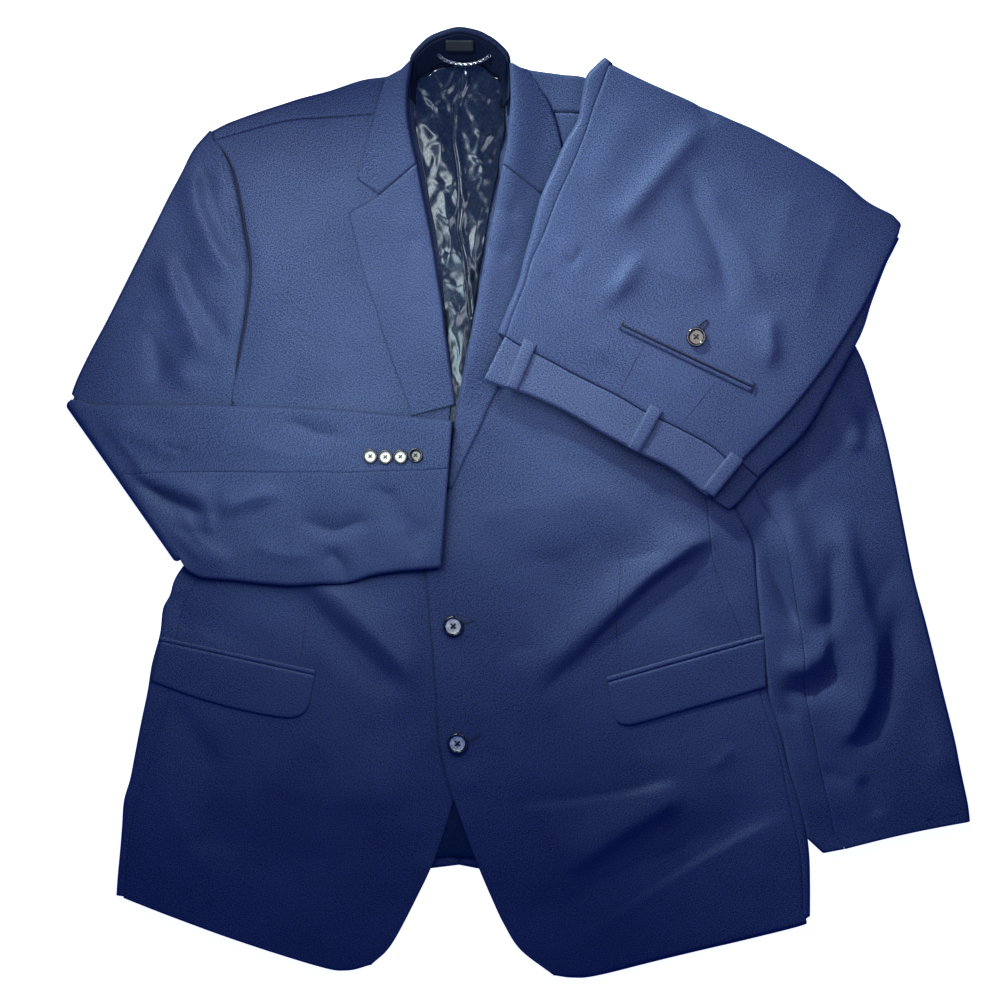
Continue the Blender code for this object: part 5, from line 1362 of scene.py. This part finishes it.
def round_at(radius, angle):
    return radius * math.cos(angle), radius * math.sin(angle)


def button(name, node, x, y, base, diameter, thickness, body, rim, slot, turn=45):
    """A four-hole button: a lathe profile, a rim of its own, crossed threads, and its holes drawn
    as flat dark discs of painted shade.
    """
    radius, depth = diameter / 2000, thickness / 1000
    spot = world([x, y, base])
    shape = bmesh.new()
    sides, rings = 56, []
    for r, h in BUTTON_PROFILE:
        if r == 0:
            rings.append([shape.verts.new((0, 0, h * depth))])
        else:
            spots = [round_at(r * radius, 2 * math.pi * k / sides) for k in range(sides)]
            rings.append([shape.verts.new((*at, h * depth)) for at in spots])
    for number, (one, two) in enumerate(zip(rings[:-1], rings[1:])):
        for k in range(sides):
            n = (k + 1) % sides
            if len(one) == 1:
                face = shape.faces.new((one[0], two[k], two[n]))
            elif len(two) == 1:
                face = shape.faces.new((one[k], two[0], one[n]))
            else:
                face = shape.faces.new((one[k], two[k], two[n], one[n]))
            face.material_index = 1 if number in RIM_RINGS else 0
    mesh = bpy.data.meshes.new(name)
    bmesh.ops.recalc_face_normals(shape, faces=shape.faces)
    shape.to_mesh(mesh)
    shape.free()
    mesh.materials.append(body)
    mesh.materials.append(rim)
    mesh.shade_smooth()
    mesh.set_sharp_from_angle(angle=math.radians(50))
    made = placed(name, mesh)
    made.location = spot
    holes = []
    # painted shade: each hole is a flat dark disc on the dish, not a hole through the button
    for k in range(4):
        at = round_at(radius * HOLE_OUT, math.radians(turn + 90 * k))
        ring = [(*round_at(radius * HOLE_WIDE, t), depth * HOLE_UP)
                for t in np.linspace(0, 2 * math.pi, 17)[:-1]]
        holes.append(((np.array(ring) + [*at, 0.0] + spot).tolist(), [tuple(range(16))]))
    for k in range(2):
        for shift in (-0.035, 0.035):
            one, two = (np.array([*round_at(radius * HOLE_OUT, math.radians(turn + t)), 0.0])
                        + np.array([shift, -shift, 0.0]) * radius for t in (90 * k, 90 * k + 180))
            path = [one + (two - one) * s + [0, 0, depth * (0.56 + 0.16 * math.sin(math.pi * s))]
                    for s in np.linspace(0, 1, 9)]
            holes.append(tube(np.array(path) + spot, radius * THREAD_WIDE, 6))
    stands_for(made, [node])
    strands(f"{name}_thread", holes, THREAD_AND_SHADE)


def seated(level, x, y):
    """Height at which a button rests on the highest cloth near it."""
    near = np.array([(x + dx, y + dy) for dx in (-6, 0, 6) for dy in (-6, 0, 6)], float)
    return float(level(near).max()) + CLOTH / 2 + 0.3


CUFF_SIZE, FRONT_SIZE, POCKET_SIZE = (14.6, 2.6), (20.6, 3.2), (19.4, 3.0)
PALE, DARK = (HORN_PALE, HORN_DARK, "horn_pale"), (HORN_DARK, HORN_DARK, "horn_dark")
for part, node, level, size, spots in (
        ("sleeve_button", "sleeve_button", level_forearm, CUFF_SIZE,
         path_of("371,456.5 386,457.2 401,457 416,455.6")),
        ("front_button", "front_button", level_left, FRONT_SIZE,
         path_of("453.2,626 457.4,743.2"))):
    for number, (x, y) in enumerate(spots, 1):
        button(f"horn_{part}_{number}", f"{node}_{number}", x, y, seated(level, x, y), *size,
               *(DARK if number == 4 else PALE))
button("horn_pocket_button", "trousers_pocket_button", 693.7, 339.0,
       seated(level_trousers, 693.7, 339.0), *POCKET_SIZE, *DARK)

LABEL_X, LABEL_Y = (446, 474), (41.5, 52)
label = np.array([[(x, y, neck_height(x, y) + 1.0) for x in np.linspace(*LABEL_X, 15)]
                  for y in np.linspace(*LABEL_Y, 9)])
cloth("woven_neck_label", pressed(label, "first last top bottom", 0.3, 1.0), WOVEN,
      "suiting_shade", ["neck_label"], wall=0.4, rests=["collar_stand"])
route = path_of("438.5,55.6 442,58.5 446,60.8 452,62.6 459,64 466,64.3 474,63.2 480,61.4 "
                "485,59.3 490,56.7")
LINK_LONG, LINK_WIDE, WIRE, LINK_TILT = 0.0021, 0.0016, 0.00042, 0.6     # metres, radians
links = []
line = even(route, np.linspace(0, 1, 23))
line = world([(x, y, neck_height(x, y) + 1.7) for x, y in line])
for k in range(len(line) - 1):
    a, b = line[k], line[k + 1]
    along = unit(b - a)
    side = unit(np.cross(along, [0, 0, 1.0])) * math.cos(LINK_TILT) \
        + np.array([0, 0, 1.0]) * math.sin(LINK_TILT) * (-1) ** k
    angle = np.linspace(0, 2 * math.pi, 17)[:-1, None]
    ring = (a + b) / 2 + LINK_LONG * np.cos(angle) * along + LINK_WIDE * np.sin(angle) * side
    links.append(tube(ring, WIRE, 6, closed=True))
strands("metal_hanger_chain", links, STEEL, ["hanger_chain"])

# ---- sewing that lies on the panels, with dark strands of painted shade along seams and darts ----
def on_floor(points):
    return np.full(len(points), FLOOR)


DART, CUT_END = (0.5, 0.35), (0.5, 0.4)       # width of a seam, and its lift
# painted shadow: a wide dark strand sunk along the right armhole, standing in for the shadow on
# the sleeve beside the seam
armhole = [(x - 1.6, y) for x, y in ARMHOLE_RIGHT[:-1]] + [(233, 396)]
for name, level, path, size in (
        ("armhole_right", level_right, armhole, (1.15, -1.2)),
        ("dart_right", level_right, path_of("306,617 303,640 300,662"), DART),
        ("dart_left_1", level_left, path_of("616,540 620,572 616,613 618,647 621,664"), DART),
        ("seat_dart_1", level_trousers, path_of("644,344 630,370 617,397"), DART),
        ("seat_dart_2", level_trousers, path_of("716,380 697,404 678,427"), DART),
        ("centre_back", on_floor, path_of("459,800 459,866"), (0.6, 0.3))):
    seam(f"seam_{name}", level, path, *size)


def buttonhole(name, level, start, end):
    """Purl stitches across a slit, with a bar at its inner end."""
    start, end = np.array(start, float), np.array(end, float)
    way = unit(end - start)
    out = np.array([-way[1], way[0]])
    parts = [tube(on(level, [start, (start + end) / 2, end], 0.75), 0.00022, 5)]
    for share in np.linspace(0, 1, 22):
        spot = start + (end - start) * share
        for sign in (-1, 1):
            parts.append(tube(on(level, [spot + out * sign * 0.25, spot + out * sign * 1.25], 0.9),
                              0.0002, 5))
    parts.append(tube(on(level, [end - out * 1.4, end, end + out * 1.4], 1.0), 0.0003, 5))
    strands(name, parts, TWIST)


buttonhole("seam_buttonhole_1", level_left, (463.5, 623.6), (475, 620.4))
buttonhole("seam_buttonhole_2", level_left, (468, 741.8), (480, 735.6))

for name, path, size in (
        ("seat_pocket", path_of("621,327.4 686,358 751,388.8"), (0.75, 0.45)),
        ("seat_pocket_end_1", path_of("622.8,323.2 620.2,327.5 617.6,331.8"), CUT_END),
        ("seat_pocket_end_2", path_of("752.2,384 750.2,389 747.8,394.2"), CUT_END)):
    seam(f"seam_{name}", on_seat, path, *size)
eye = even(path_of("695,331 698.5,326 704,322 705.5,324.5 701,330 697,334"), np.linspace(0, 1, 26))
strands("seam_button_loop", [tube(on(level_trousers, eye, 1.3), 0.0005, 6)], THREAD_AND_SHADE)

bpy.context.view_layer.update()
for name, (w, l, a) in sorted(CUTS.items()):
    print("CUT", name, w, l, a)
